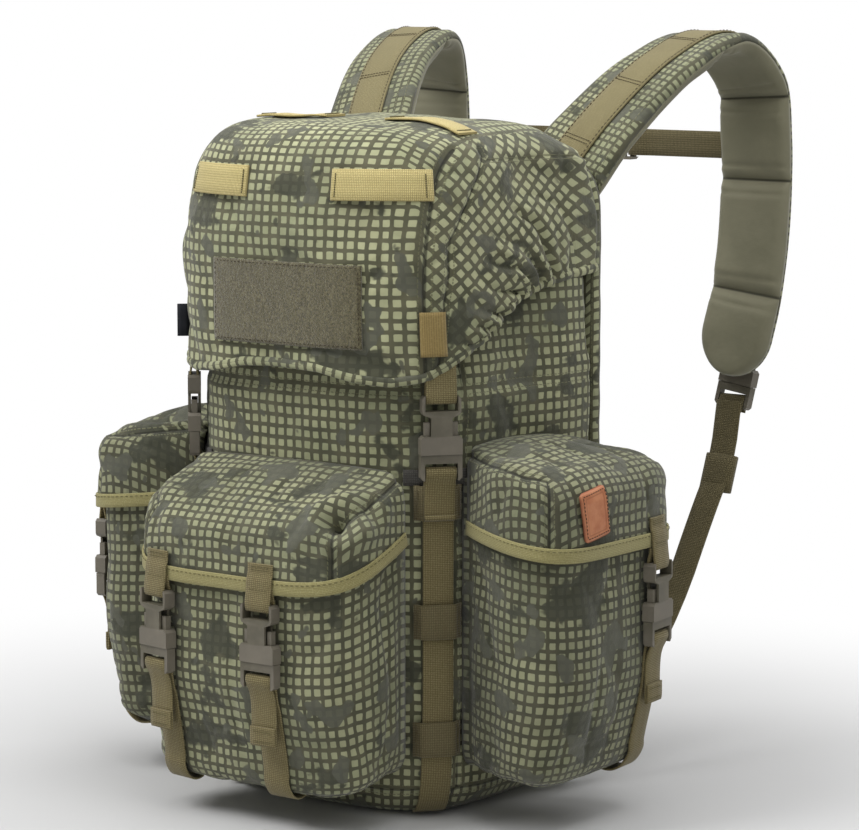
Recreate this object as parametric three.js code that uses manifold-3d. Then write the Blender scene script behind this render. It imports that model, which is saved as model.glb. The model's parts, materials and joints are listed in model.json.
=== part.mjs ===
// A hunting backpack with a lid, three buckled pockets and a padded shoulder harness.
// Millimetres, +Z up. The origin is the middle of the main bag's base.
// The front of the pack faces -Y and the harness is on the +Y side.
import * as THREE from 'three';
import { mergeVertices } from 'three/addons/utils/BufferGeometryUtils.js';
import Module from 'manifold-3d';

const wasm = await Module();
wasm.setup();

// Clearances and cloth
const gap = 0.3;
const overrun = 10;
const cloth = 2.6;
const ringPoints = 28;

// Webbing
const webWidth = 21.5;
const webThick = 1.6;
const loopClearance = 0.4;

// Main bag
const bag = { halfWidth: 117, front: 88, back: 84.4, height: 428, frontPower: 3, backPower: 7 };
const bagShares = [
  [0, 0.75, 0.7, 0.95], [0.012, 0.86, 0.83, 0.98], [0.045, 0.95, 0.93, 1], [0.2, 1, 1, 1],
  [0.68, 1, 1, 1], [0.86, 0.92, 0.93, 0.94], [0.95, 0.82, 0.82, 0.83], [1, 0.7, 0.66, 0.7],
];

// Back of the pack
const sheet = { halfWidth: 108, thick: 1.5, low: 14 };
const panel = { halfWidth: 129, thick: 11, low: 2, corner: 42, crown: 2.5, crownPower: 6, channel: 2.5 };
const panelGrid = { across: 10, up: 15 };
const panelChannelShares = [0.3, 0.62];
const haul = { halfSpan: 42, reach: 22, drop: 16, kneeShare: 0.6, topShare: 0.33 };

// Lid
const lid = {
  halfWidth: 122, front: 105, rise: 50, hingeDrop: 23, drop: 169, frontPower: 3.2, backPower: 9, cloth: 3,
};
const lidTop = bag.height + lid.rise;
const lidHinge = lidTop - lid.hingeDrop;
const lidShares = [
  [1, 0.5], [0.985, 0.76], [0.93, 0.9], [0.84, 0.965], [0.68, 1], [0.45, 1.012], [0.2, 1.01], [0, 1],
];
const lidFloor = lidTop - lid.drop;
const lidHemShares = [
  [0, 0.32], [20, 0.12], [36, -0.02], [47, -0.04], [58, 0.01], [72, 0.08], [90, 0.09],
];
const lidSideShares = [[0, 0.32], [22, 0.4], [37, 0.44], [46, 1], [90, 1]];
const loopPanel = { halfWidth: 63, middle: 6, lowDrop: 152, highDrop: 94, thick: 1.5 };
const lidLoop = { inner: 38, outer: 101, height: 25, frontDrop: 46, topMiddle: -18 };

// Pockets: half width, depth and heights of the closed flap
const pocketRound = 22;
const pocketPower = { front: 5, back: 2 };
const sideSwell = 0.61;
const frontSwell = 0.97;
const frontPocket = {
  halfWidth: 98, depth: 72, low: 15, high: 216, hem: 166, fastening: 119, firstStrap: -63, lastStrap: 29,
  flapFace: 75,
};
const frontTiltShares = { tilt: 0.4, lowTilt: 0.2 };
const sidePocket = {
  halfWidth: 79, depth: 96, low: 27, high: 250, hem: 190, fastening: 139, strap: 40, flapFace: 12,
};
const sideTiltShares = { tilt: 0.1, lowTilt: 0.05 };
const sideForm = {
  ...sidePocket, ...sideTiltShares, swell: sideSwell, seat: bag.halfWidth, straps: [sidePocket.strap],
};
const pockets = [
  { name: 'front', ...frontPocket, ...frontTiltShares, swell: frontSwell, turn: 0, seat: bag.front,
    straps: [frontPocket.firstStrap, frontPocket.lastStrap] },
  { name: 'right', ...sideForm, turn: 1 },
  { name: 'left', ...sideForm, turn: -1 },
];
const binding = { height: 14, thick: 1.4 };
const flapCrown = 5;
const tabRise = 20;
const tailLength = 46;
const foldLength = 13;
const foldThick = 1.5;
const patch = { halfWidth: 14, low: 206, high: 241, middle: -35, thick: 1.5 };

// Side-release buckle
const buckle = {
  width: 28.8, length: 40, depth: 9, tail: 17.5, cavityHalf: 12.2, wall: 1.9, barHeight: 4,
  barDepth: 3, windowHalf: 11.4, windowHeight: 6.5, windowHeightLow: 4, armInner: 7.9, armOuter: 11.6,
  armLength: 22, guideHalf: 2.2, guideLength: 20, fit: 0.4, waistHalf: 7.4, chamfer: 2, topInset: 3,
};
const buckleLift = 2.2;
const waistShares = { low: 0.27, high: 0.68 };
const loopCornerShare = 0.33;

// Lid straps at the front corners of the bag
const lidStrap = { acrossShare: 0.872, turn: 50, low: 14, drop: 53 };
const lidFastening = lidFloor - lidStrap.drop;
const keeper = {
  width: 31, height: 26, thick: 1.2, backing: 0.8, backingWidth: 18, drop: 21, lowTop: 71, count: 3,
};
const lidTabRise = 22;
const hemReach = 1.3;

// Harness: half spread, reach behind the back panel and rise above the seam
const harness = {
  spread: 147, reach: 177, rise: 102, seamDrop: 3, widthTop: 76, widthEnd: 58, padThick: 14,
  tape: 29, tapeThick: 1.6, tapeGap: 1.2, sections: 32, tapeSections: 26, sides: 10,
};
const seam = bag.height - harness.seamDrop;
const padPower = 4;
const ribbonPower = 20;
const ribbonSides = 4;
const tapeLegShare = 1.15;
const taperShare = 0.5;
const padEndShares = { from: 0.93, narrow: 0.86 };
const channelDepthShare = 0.3;
const channelSharpness = 60;
const padShares = [
  [0.58, -0.01, 0], [0.7, 0.175, 0.42], [0.83, 0.47, 0.84], [0.91, 0.78, 1], [0.985, 0.955, 0.74],
  [1, 0.995, 0.3], [1, 0.99, -0.25], [0.987, 0.955, -0.76], [0.95, 0.925, -1.13], [0.922, 0.9, -1.41],
];
const channelShares = [0.36, 0.54, 0.675, 0.86];
const shoulderDrop = 6;
const anchor = { across: 118, height: 24 };
const lowerSagShares = [[0.05, 0.19], [0.2, 0.35], [0.42, 0.62], [0.74, 0.86]];
const lowerKeeper = { share: 0.2, length: 30, wall: 2.2 };
const sternum = { rise: 24, junction: -8, webWidth: 20, samples: 60 };
const sternumShares = [0.3, 0.7];

// Small parts
const label = { halfWidth: 8, height: 28, drop: 164 };

const surface = (color, roughness, metalness = 0) =>
  new THREE.MeshStandardMaterial({ color, roughness, metalness });
const camo = surface(0x6f7357, 0.9);
const webbing = surface(0x8d8158, 0.85);
const darkWebbing = surface(0x5f5a3c, 0.85);
const plastic = surface(0x57504a, 0.45);
const padding = surface(0x7d8068, 0.8);
const hookLoop = surface(0x6a6446, 0.95);
const leather = surface(0xb5714a, 0.7);
const sheetPlastic = surface(0x2f3030, 0.5);

const pack = new THREE.Group();
const radians = THREE.MathUtils.degToRad;

// Closed geometry to a solid that can be joined and cut
function solid(geometry) {
  const bare = geometry.clone();
  bare.deleteAttribute('normal');
  bare.deleteAttribute('uv');
  const merged = mergeVertices(bare);
  return new wasm.Manifold(new wasm.Mesh({
    numProp: 3,
    vertProperties: merged.attributes.position.array,
    triVerts: new Uint32Array(merged.index.array),
  }));
}

// Solid back to a geometry
function shape(body) {
  const mesh = body.getMesh();
  const geometry = new THREE.BufferGeometry();
  geometry.setAttribute('position', new THREE.BufferAttribute(mesh.vertProperties, 3));
  geometry.setIndex(new THREE.BufferAttribute(mesh.triVerts, 1));
  geometry.computeVertexNormals();
  return geometry;
}

function addPart(name, geometry, material, matrix) {
  const mesh = new THREE.Mesh(geometry, material);
  mesh.name = name;
  if (matrix) matrix.decompose(mesh.position, mesh.quaternion, mesh.scale);
  pack.add(mesh);
  return mesh;
}

// Skins a stack of rings of equal count into one closed solid with a fan at each end
function skin(rings, lastCentre) {
  const count = rings[0].length;
  const points = rings.flat();
  const centreOf = (ring) => ring.reduce((sum, p) => sum.add(p), new THREE.Vector3())
    .divideScalar(ring.length);
  const first = points.push(centreOf(rings[0])) - 1;
  const last = points.push(lastCentre ?? centreOf(rings.at(-1))) - 1;
  const index = [];
  for (let j = 0; j < count; j++) {
    const next = (j + 1) % count;
    const top = (rings.length - 1) * count;
    index.push(first, next, j, last, top + j, top + next);
    for (let i = 0; i < rings.length - 1; i++) {
      const low = i * count;
      const high = low + count;
      index.push(low + j, low + next, high + next, low + j, high + next, high + j);
    }
  }
  const geometry = new THREE.BufferGeometry().setFromPoints(points);
  geometry.setIndex(index);
  geometry.computeVertexNormals();
  return geometry;
}

const bent = (value, power) => Math.sign(value) * Math.abs(value) ** (2 / power);

// Ring with a rounded front and a squarer back; height is a function of x and y
function roundedRing(halfWidth, front, back, frontPower, backPower, height) {
  return Array.from({ length: ringPoints }, (_, i) => {
    const angle = (i + 0.5) / ringPoints * 2 * Math.PI;
    const power = Math.sin(angle) < 0 ? frontPower : backPower;
    const x = halfWidth * bent(Math.cos(angle), power);
    const y = (Math.sin(angle) < 0 ? front : back) * bent(Math.sin(angle), power);
    return new THREE.Vector3(x, y, height(x, y));
  });
}

// Box given by its low and high corners
function block(low, high) {
  const size = high.map((value, i) => value - low[i]);
  const box = new THREE.BoxGeometry(...size);
  box.translate(...low.map((value, i) => value + size[i] / 2));
  return solid(box);
}

// Outline in width and height, extruded outwards from the face at y = 0
function plate(outline, near, far) {
  const geometry = new THREE.ExtrudeGeometry(outline, { depth: far - near, bevelEnabled: false });
  geometry.rotateX(Math.PI / 2);
  geometry.translate(0, -near, 0);
  return solid(geometry);
}

const moved = (body, matrix) => body.transform([...matrix.elements]);

// The main body of a cut piece, without the slivers that a cut leaves
const mainBody = (body) => body.decompose().sort((a, b) => b.volume() - a.volume())[0];

// Frame whose up axis runs along a strap and whose -Y faces outwards
function frameAt(origin, up, out) {
  const z = up.clone().normalize();
  const y = out.clone().negate().addScaledVector(z, out.dot(z)).normalize();
  const x = new THREE.Vector3().crossVectors(y, z);
  return new THREE.Matrix4().makeBasis(x, y, z).setPosition(origin);
}

// Main bag
function bagRings(grow) {
  return bagShares.map(([heightShare, widthShare, frontShare, backShare], level) => roundedRing(
    bag.halfWidth * widthShare + grow, bag.front * frontShare + grow, bag.back * backShare + grow,
    bag.frontPower, bag.backPower,
    () => bag.height * heightShare + (level === 0 ? -grow : 0),
  ));
}

const bagForm = (grow) => solid(skin(bagRings(grow)));

function makeBag() {
  const rings = [...bagRings(0), ...bagRings(-cloth).reverse()];
  addPart('main_bag', skin(rings), camo);
}

// Stiff sheet and padded panel against the wearer's back
const sheetFront = bag.back + gap;
const panelFront = sheetFront + sheet.thick + gap;
const panelRear = panelFront + panel.thick;
const backTop = lidHinge - gap;

function panelHalfWidth(z) {
  const below = z - (backTop - panel.corner);
  const above = (panel.low + panel.corner) - z;
  const past = Math.max(below, above, 0);
  return panel.halfWidth - panel.corner + Math.sqrt(panel.corner ** 2 - Math.min(past, panel.corner) ** 2);
}

function panelSkin(grow) {
  const { across, up } = panelGrid;
  const rows = Array.from({ length: up + 1 }, (_, j) => {
    const heightShare = (1 - Math.cos(Math.PI * j / up)) / 2;
    const z = panel.low + (backTop - panel.low) * heightShare;
    const half = panelHalfWidth(z);
    const inChannel = Math.min(...panelChannelShares.map((s) => Math.abs(heightShare - s))) < 1 / up / 2;
    const rear = Array.from({ length: across + 1 }, (_, i) => {
      const side = 1 - 2 * i / across;
      const rim = Math.max(Math.abs(side), Math.abs(2 * heightShare - 1)) ** panel.crownPower;
      const y = panelRear + grow - panel.crown * rim - (inChannel ? panel.channel : 0);
      return new THREE.Vector3(half * side, y, z);
    });
    const front = Array.from({ length: across + 1 }, (_, i) =>
      new THREE.Vector3(half * (2 * i / across - 1), panelFront, z));
    return [...rear, ...front];
  });
  return skin(rows);
}

// The part of a body that lies behind the back panel
function behindPanel(body) {
  const room = block(
    [-harness.spread * 2, panelFront, 0],
    [harness.spread * 2, panelRear + harness.reach * 2, bag.height * 2],
  );
  return body.intersect(room).subtract(solid(panelSkin(gap)));
}

function makeBack() {
  const body = block(
    [-sheet.halfWidth, sheetFront, sheet.low],
    [sheet.halfWidth, sheetFront + sheet.thick, backTop],
  );
  addPart('frame_sheet', shape(body), sheetPlastic);
  addPart('back_panel', panelSkin(0), padding);
}

// Webbing carrying loop on the back panel
function makeHaulLoop() {
  const seat = panelRear + gap;
  const neck = haul.halfSpan - haul.drop;
  const arch = (inset) => {
    const outline = new THREE.Shape([
      new THREE.Vector2(-neck + inset, seat + inset), new THREE.Vector2(neck - inset, seat + inset),
      new THREE.Vector2(neck - inset, seat + haul.reach * haul.kneeShare),
      new THREE.Vector2(neck - haul.drop * haul.topShare - inset / 2, seat + haul.reach - inset),
      new THREE.Vector2(haul.drop * haul.topShare - neck + inset / 2, seat + haul.reach - inset),
      new THREE.Vector2(inset - neck, seat + haul.reach * haul.kneeShare),
    ]);
    const extra = inset > 0 ? overrun : 0;
    const geometry = new THREE.ExtrudeGeometry(outline, {
      depth: webWidth + extra * 2, bevelEnabled: false,
    });
    geometry.translate(0, 0, seam - webWidth / 2 - extra);
    return solid(geometry);
  };
  const foot = block(
    [-haul.halfSpan, panelFront, seam - webWidth / 2],
    [haul.halfSpan, seat + webThick, seam + webWidth / 2],
  );
  addPart('haul_loop', shape(arch(0).subtract(arch(webThick)).add(behindPanel(foot))), webbing);
}

// Reads a table of [angle, share] rows
function along(table, angle) {
  const next = table.findIndex(([at]) => at >= angle);
  if (next <= 0) return table[Math.max(next, 0)][1];
  const [a, low] = table[next - 1];
  const [b, high] = table[next];
  return low + (high - low) * (angle - a) / (b - a);
}

// Height of the lid's hem around the pack: low at the front tabs, high at the back
function hemHeight(x, y) {
  const angle = THREE.MathUtils.radToDeg(Math.atan2(Math.abs(y), Math.abs(x)));
  const share = along(y < 0 ? lidHemShares : lidSideShares, angle);
  return lidFloor + (lidHinge - lidFloor) * share;
}

function lidRings(grow, hemDrop = 0) {
  return lidShares.map(([heightShare, sizeShare]) => roundedRing(
    (lid.halfWidth + grow) * sizeShare, (lid.front + grow) * sizeShare,
    Math.min(sizeShare, 1) * (bag.back + Math.min(grow, 0)), lid.frontPower, lid.backPower,
    (x, y) => {
      const hem = hemHeight(x, y);
      const top = lidTop + grow;
      return hem - (heightShare === 0 ? hemDrop : 0) + (top - hem) * heightShare;
    },
  ));
}

const lidForm = (grow, hemDrop = 0) => solid(skin(lidRings(grow, hemDrop).reverse(),
  new THREE.Vector3(0, 0, lidTop + grow)));

// Layer that follows a form, cut out by a prism
function layer(form, near, far, prism) {
  return form(far).subtract(form(near)).intersect(prism);
}

function makeLid() {
  const rings = [...lidRings(-lid.cloth), ...lidRings(0).reverse()];
  addPart('lid', skin(rings, new THREE.Vector3(0, 0, lidTop)), camo);
  const panelPrism = block(
    [loopPanel.middle - loopPanel.halfWidth, -lid.front - overrun, lidTop - loopPanel.lowDrop],
    [loopPanel.middle + loopPanel.halfWidth, -lid.front / 2, lidTop - loopPanel.highDrop],
  );
  addPart('loop_panel', shape(layer(lidForm, gap, gap + loopPanel.thick, panelPrism)), hookLoop);
  for (const [side, name] of [[-1, 'left'], [1, 'right']]) {
    const spans = [lidLoop.inner * side, lidLoop.outer * side].sort((a, b) => a - b);
    const frontMiddle = lidTop - lidLoop.frontDrop;
    const front = block(
      [spans[0], -lid.front - overrun, frontMiddle - lidLoop.height / 2],
      [spans[1], -lid.front / 2, frontMiddle + lidLoop.height / 2],
    );
    const top = block(
      [spans[0], lidLoop.topMiddle - lidLoop.height / 2, lidHinge],
      [spans[1], lidLoop.topMiddle + lidLoop.height / 2, lidTop + overrun],
    );
    addPart(`lid_loop_front_${name}`, shape(layer(lidForm, gap, gap + webThick, front)), webbing);
    addPart(`lid_loop_top_${name}`, shape(layer(lidForm, gap, gap + webThick, top)), webbing);
  }
}

// Side-release buckle, junction at the origin, back face at y = 0
function mirroredShape(points) {
  const right = points.map(([x, z]) => new THREE.Vector2(x, z));
  const left = points.map(([x, z]) => new THREE.Vector2(-x, z)).reverse();
  return new THREE.Shape([...right, ...left]);
}

const barHeight = buckle.length - buckle.barHeight / 2;
const lowBarHeight = -buckle.windowHeightLow - buckle.barHeight * 2;

function femaleBuckle() {
  const half = buckle.width / 2;
  const waistLow = buckle.length * waistShares.low;
  const waistHigh = buckle.length * waistShares.high;
  const windowTop = buckle.length - buckle.barHeight;
  const windowLow = windowTop - buckle.windowHeight;
  const body = plate(mirroredShape([
    [half, 0], [half, waistLow], [half - buckle.chamfer, waistLow + buckle.chamfer],
    [buckle.waistHalf, waistLow + buckle.chamfer], [buckle.waistHalf, waistHigh - buckle.chamfer],
    [half - buckle.chamfer, waistHigh], [half - buckle.chamfer / 2, waistHigh + buckle.chamfer],
    [half - buckle.chamfer / 2, buckle.length - buckle.chamfer],
    [half - buckle.topInset, buckle.length],
  ]), 0, buckle.depth);
  const nearBar = (buckle.depth - buckle.barDepth) / 2;
  const cavity = block(
    [-buckle.cavityHalf, buckle.wall - buckle.depth, -overrun],
    [buckle.cavityHalf, -buckle.wall, waistHigh - buckle.chamfer / 2],
  );
  const window = block(
    [-buckle.windowHalf, -buckle.depth - overrun, windowLow],
    [buckle.windowHalf, overrun, windowTop],
  );
  const behind = block(
    [-buckle.windowHalf, -nearBar, windowLow], [buckle.windowHalf, overrun, buckle.length + overrun],
  );
  const before = block(
    [-buckle.windowHalf, -buckle.depth - overrun, windowLow],
    [buckle.windowHalf, nearBar - buckle.depth, buckle.length + overrun],
  );
  return body.subtract(cavity).subtract(window).subtract(behind).subtract(before);
}

function maleBuckle() {
  const half = buckle.width / 2;
  const near = buckle.wall / 2;
  const far = buckle.depth - near;
  const frame = plate(mirroredShape([
    [half, -gap], [half, buckle.chamfer - buckle.tail], [half - buckle.chamfer, -buckle.tail],
  ].reverse()), near, far);
  const armNear = buckle.wall + buckle.fit;
  const armFar = buckle.depth - armNear;
  const arm = (side) => block(
    [Math.min(side * buckle.armInner, side * buckle.armOuter), -armFar, -buckle.barHeight],
    [Math.max(side * buckle.armInner, side * buckle.armOuter), -armNear, buckle.armLength],
  );
  const guide = block(
    [-buckle.guideHalf, -armFar, -buckle.barHeight], [buckle.guideHalf, -armNear, buckle.guideLength],
  );
  const nearBar = (buckle.depth - buckle.barDepth) / 2;
  const barLow = lowBarHeight - buckle.barHeight / 2;
  const barHigh = lowBarHeight + buckle.barHeight / 2;
  const upper = block(
    [-buckle.windowHalf, -buckle.depth - overrun, barHigh],
    [buckle.windowHalf, overrun, barHigh + buckle.windowHeightLow],
  );
  const lower = block(
    [-buckle.windowHalf, -buckle.depth - overrun, barLow - buckle.windowHeightLow],
    [buckle.windowHalf, overrun, barLow],
  );
  const before = block(
    [-buckle.windowHalf, -buckle.depth - overrun, barLow],
    [buckle.windowHalf, nearBar - buckle.depth, barHigh],
  );
  const behind = block(
    [-buckle.windowHalf, -nearBar, -buckle.tail - overrun], [buckle.windowHalf, overrun, barHigh],
  );
  return frame.add(arm(1)).add(arm(-1)).add(guide)
    .subtract(upper).subtract(lower).subtract(before).subtract(behind);
}

// Webbing loop round a buckle's bar, as wide as the webbing
function barLoop(height, width = webWidth) {
  const halfDepth = buckle.barDepth / 2 + loopClearance;
  const halfHeight = buckle.barHeight / 2 + loopClearance;
  const ring = (extra) => {
    const d = halfDepth + extra;
    const h = halfHeight + extra;
    const cut = Math.min(d, h) * loopCornerShare;
    return [
      [d, -h + cut], [d, h - cut], [d - cut, h], [cut - d, h],
      [-d, h - cut], [-d, cut - h], [cut - d, -h], [d - cut, -h],
    ].map(([a, b]) => new THREE.Vector2(a, b));
  };
  const outline = new THREE.Shape(ring(webThick));
  outline.holes.push(new THREE.Path(ring(0).reverse()));
  const geometry = new THREE.ExtrudeGeometry(outline, { depth: width, bevelEnabled: false });
  geometry.rotateX(Math.PI / 2);
  geometry.rotateZ(Math.PI / 2);
  geometry.translate(-width / 2, -buckle.depth / 2, height);
  return solid(geometry);
}

const female = shape(femaleBuckle());
const male = shape(maleBuckle());

function addBuckle(name, frame) {
  addPart(`${name}_female`, female, plastic, frame);
  addPart(`${name}_male`, male, plastic, frame);
}

// Pockets, in a frame whose y = 0 is the bag's surface and whose -Y faces outwards
const flapGap = 2;
const pocketGrow = -cloth - flapGap;

function pocketRing(pocket, grow, roll, height, tilt) {
  const reach = pocketRound * (Math.cos(roll) - 1) + grow * Math.cos(roll);
  const depth = pocket.depth + reach;
  const ring = roundedRing(pocket.halfWidth + reach, depth, pocketRound,
    pocketPower.front, pocketPower.back, () => 0);
  for (const point of ring) {
    const out = THREE.MathUtils.clamp(-point.y / pocket.depth, 0, 1);
    point.x *= pocket.swell + (1 - pocket.swell) * (1 - (1 - out) ** 2);
    point.z = height + tilt * (point.y + pocket.depth);
  }
  return ring;
}

const rollShares = [0, 0.33, 0.67, 1];
const rimRings = 1;

function pocketTop(pocket, grow, rolls) {
  return rolls.map((share) => {
    const roll = share * Math.PI / 2;
    const height = pocket.high - pocketRound + (pocketRound + grow) * Math.sin(roll);
    return pocketRing(pocket, grow, roll, height, pocket.tilt);
  });
}

function pocketBase(pocket, grow) {
  return [...rollShares].reverse().map((share) => {
    const roll = share * Math.PI / 2;
    const height = pocket.low + pocketRound - (pocketRound + grow) * Math.sin(roll);
    return pocketRing(pocket, grow, roll, height, pocket.lowTilt);
  });
}

const apex = (pocket, grow) => new THREE.Vector3(0, -pocket.depth / 2,
  pocket.high + grow + pocket.tilt * pocket.depth / 2 + flapCrown);

const pocketForm = (pocket) => (grow) => solid(skin(
  [...pocketBase(pocket, grow), ...pocketTop(pocket, grow, rollShares)],
));

const flapForm = (pocket) => (grow) => solid(skin(
  [pocketRing(pocket, grow, 0, pocket.hem - overrun, pocket.tilt),
    ...pocketTop(pocket, grow, rollShares)],
  apex(pocket, grow),
));

function pocketPlace(pocket) {
  const place = new THREE.Matrix4().makeRotationZ(pocket.turn * Math.PI / 2);
  const out = new THREE.Vector3(0, -pocket.seat - gap, 0).applyMatrix4(place);
  return place.setPosition(out);
}

// Outward angle and depth of a pocket's wall at a place across it
function wallAt(pocket, across) {
  const depth = pocket.depth + pocketGrow;
  const half = pocket.halfWidth + pocketGrow;
  const share = Math.abs(across) / half;
  const power = pocketPower.front;
  const rest = 1 - share ** power;
  const out = depth * rest ** (1 / power);
  const slope = depth / half * share ** (power - 1) * rest ** (1 / power - 1);
  return { out, angle: Math.sign(across) * Math.atan(slope) };
}

function makePocket(pocket) {
  const place = pocketPlace(pocket);
  const open = rollShares.slice(0, rimRings);
  const outer = [...pocketBase(pocket, pocketGrow), ...pocketTop(pocket, pocketGrow, open)];
  const inner = [...pocketBase(pocket, pocketGrow - cloth), ...pocketTop(pocket, pocketGrow - cloth, open)];
  const shell = moved(solid(skin([...outer, ...inner.reverse()])), place).subtract(bagForm(gap));
  addPart(`${pocket.name}_pocket`, shape(shell), camo);

  const hemRing = (grow) => pocketRing(pocket, grow, 0, pocket.hem, pocket.tilt);
  const wide = pocket.halfWidth + pocket.depth;
  const outside = block([-wide, -wide, 0], [wide, 0, bag.height]);
  const flapInner = [hemRing(-cloth), ...pocketTop(pocket, -cloth, rollShares)].reverse();
  const flapOuter = [hemRing(0), ...pocketTop(pocket, 0, rollShares)];
  const cap = solid(skin([...flapInner, ...flapOuter], apex(pocket, 0))).intersect(outside);
  const sides = (extra) => solid(skin([
    pocketRing(pocket, overrun, 0, pocket.hem - overrun, pocket.tilt),
    pocketRing(pocket, overrun, 0, pocket.high - pocketRound + extra, pocket.tilt),
  ])).intersect(block([-wide, pocket.flapFace - pocket.depth - extra, 0], [wide, wide, bag.height]));
  addPart(`${pocket.name}_flap`, shape(mainBody(cap.subtract(sides(gap)))), camo, place);

  const band = (grow, extra) => solid(skin([
    pocketRing(pocket, grow, 0, pocket.hem - extra, pocket.tilt),
    pocketRing(pocket, grow, 0, pocket.hem + binding.height + extra, pocket.tilt),
  ]));
  const hemBand = band(gap + binding.thick, 0);
  const skirts = cap.add(hemBand.subtract(band(-cloth, webThick))).intersect(sides(0));
  let trim = hemBand.subtract(band(gap, webThick));
  const wall = pocketForm(pocket);
  pocket.straps.forEach((across, i) => {
    const name = `${pocket.name}_pocket${pocket.straps.length > 1 ? `_${i + 1}` : ''}`;
    const { out, angle } = wallAt(pocket, across);
    const normal = new THREE.Vector3(Math.sin(angle), -Math.cos(angle), 0);
    const origin = new THREE.Vector3(across, -out, pocket.fastening).addScaledVector(normal, buckleLift);
    const frame = frameAt(origin, new THREE.Vector3(0, 0, 1), normal);
    const loopBack = (buckle.depth - buckle.barDepth) / 2 - loopClearance - webThick;
    const rise = pocket.hem + tabRise - pocket.fastening;
    const leg = block(
      [-webWidth / 2, -loopBack - webThick * 2, barHeight + buckle.barHeight / 2 + loopClearance],
      [webWidth / 2, cloth, rise],
    );
    trim = trim.add(moved(barLoop(barHeight).add(leg), frame));
    const placed = place.clone().multiply(frame);
    addBuckle(name, placed);

    const tail = block(
      [-webWidth / 2, -loopBack - webThick, lowBarHeight - tailLength],
      [webWidth / 2, buckleLift, lowBarHeight - buckle.barHeight / 2 - loopClearance],
    );
    const fold = block(
      [-webWidth / 2, -loopBack - webThick - foldThick, lowBarHeight - tailLength],
      [webWidth / 2, buckleLift, lowBarHeight - tailLength + foldLength],
    );
    const strip = layer(wall, pocketGrow + gap, pocketGrow + gap + webThick, block(
      [across - webWidth / 2, -wide, 0],
      [across + webWidth / 2, -pocket.depth / 2, pocket.fastening + lowBarHeight],
    ));
    const strap = moved(barLoop(lowBarHeight).add(tail).add(fold), frame)
      .subtract(wall(pocketGrow + gap)).add(strip);
    addPart(`${name}_strap`, shape(strap), webbing, place);
  });
  trim = trim.subtract(flapForm(pocket)(gap)).subtract(wall(pocketGrow + gap)).add(skirts)
    .intersect(outside);
  addPart(`${pocket.name}_flap_trim`, shape(mainBody(trim)), webbing, place);
}

function makePatch() {
  const pocket = pockets.find(({ name }) => name === 'right');
  const wide = pocket.depth + pocket.halfWidth;
  const prism = block(
    [patch.middle - patch.halfWidth, -wide, patch.low],
    [patch.middle + patch.halfWidth, -pocket.depth / 2, patch.high],
  );
  const body = layer(flapForm(pocket), gap, gap + patch.thick, prism);
  addPart('leather_patch', shape(body), leather, pocketPlace(pocket));
}

// Lid straps, their keepers and buckles at the bag's front corners
const keeperTops = Array.from({ length: keeper.count }, (_, i) => (
  THREE.MathUtils.lerp(lidFastening - keeper.drop, keeper.lowTop, i / (keeper.count - 1))));
const keeperRise = keeper.backing + webThick + keeper.thick + gap * 3;
const lidLift = keeperRise + gap;

function cornerFrame(side) {
  const share = lidStrap.acrossShare;
  const y = -bag.front * (1 - share ** bag.frontPower) ** (1 / bag.frontPower);
  const angle = side * radians(lidStrap.turn);
  const normal = new THREE.Vector3(Math.sin(angle), -Math.cos(angle), 0);
  const surfacePoint = new THREE.Vector3(side * bag.halfWidth * share, y, 0);
  return { normal, surfacePoint, frame: frameAt(surfacePoint, new THREE.Vector3(0, 0, 1), normal) };
}

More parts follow.
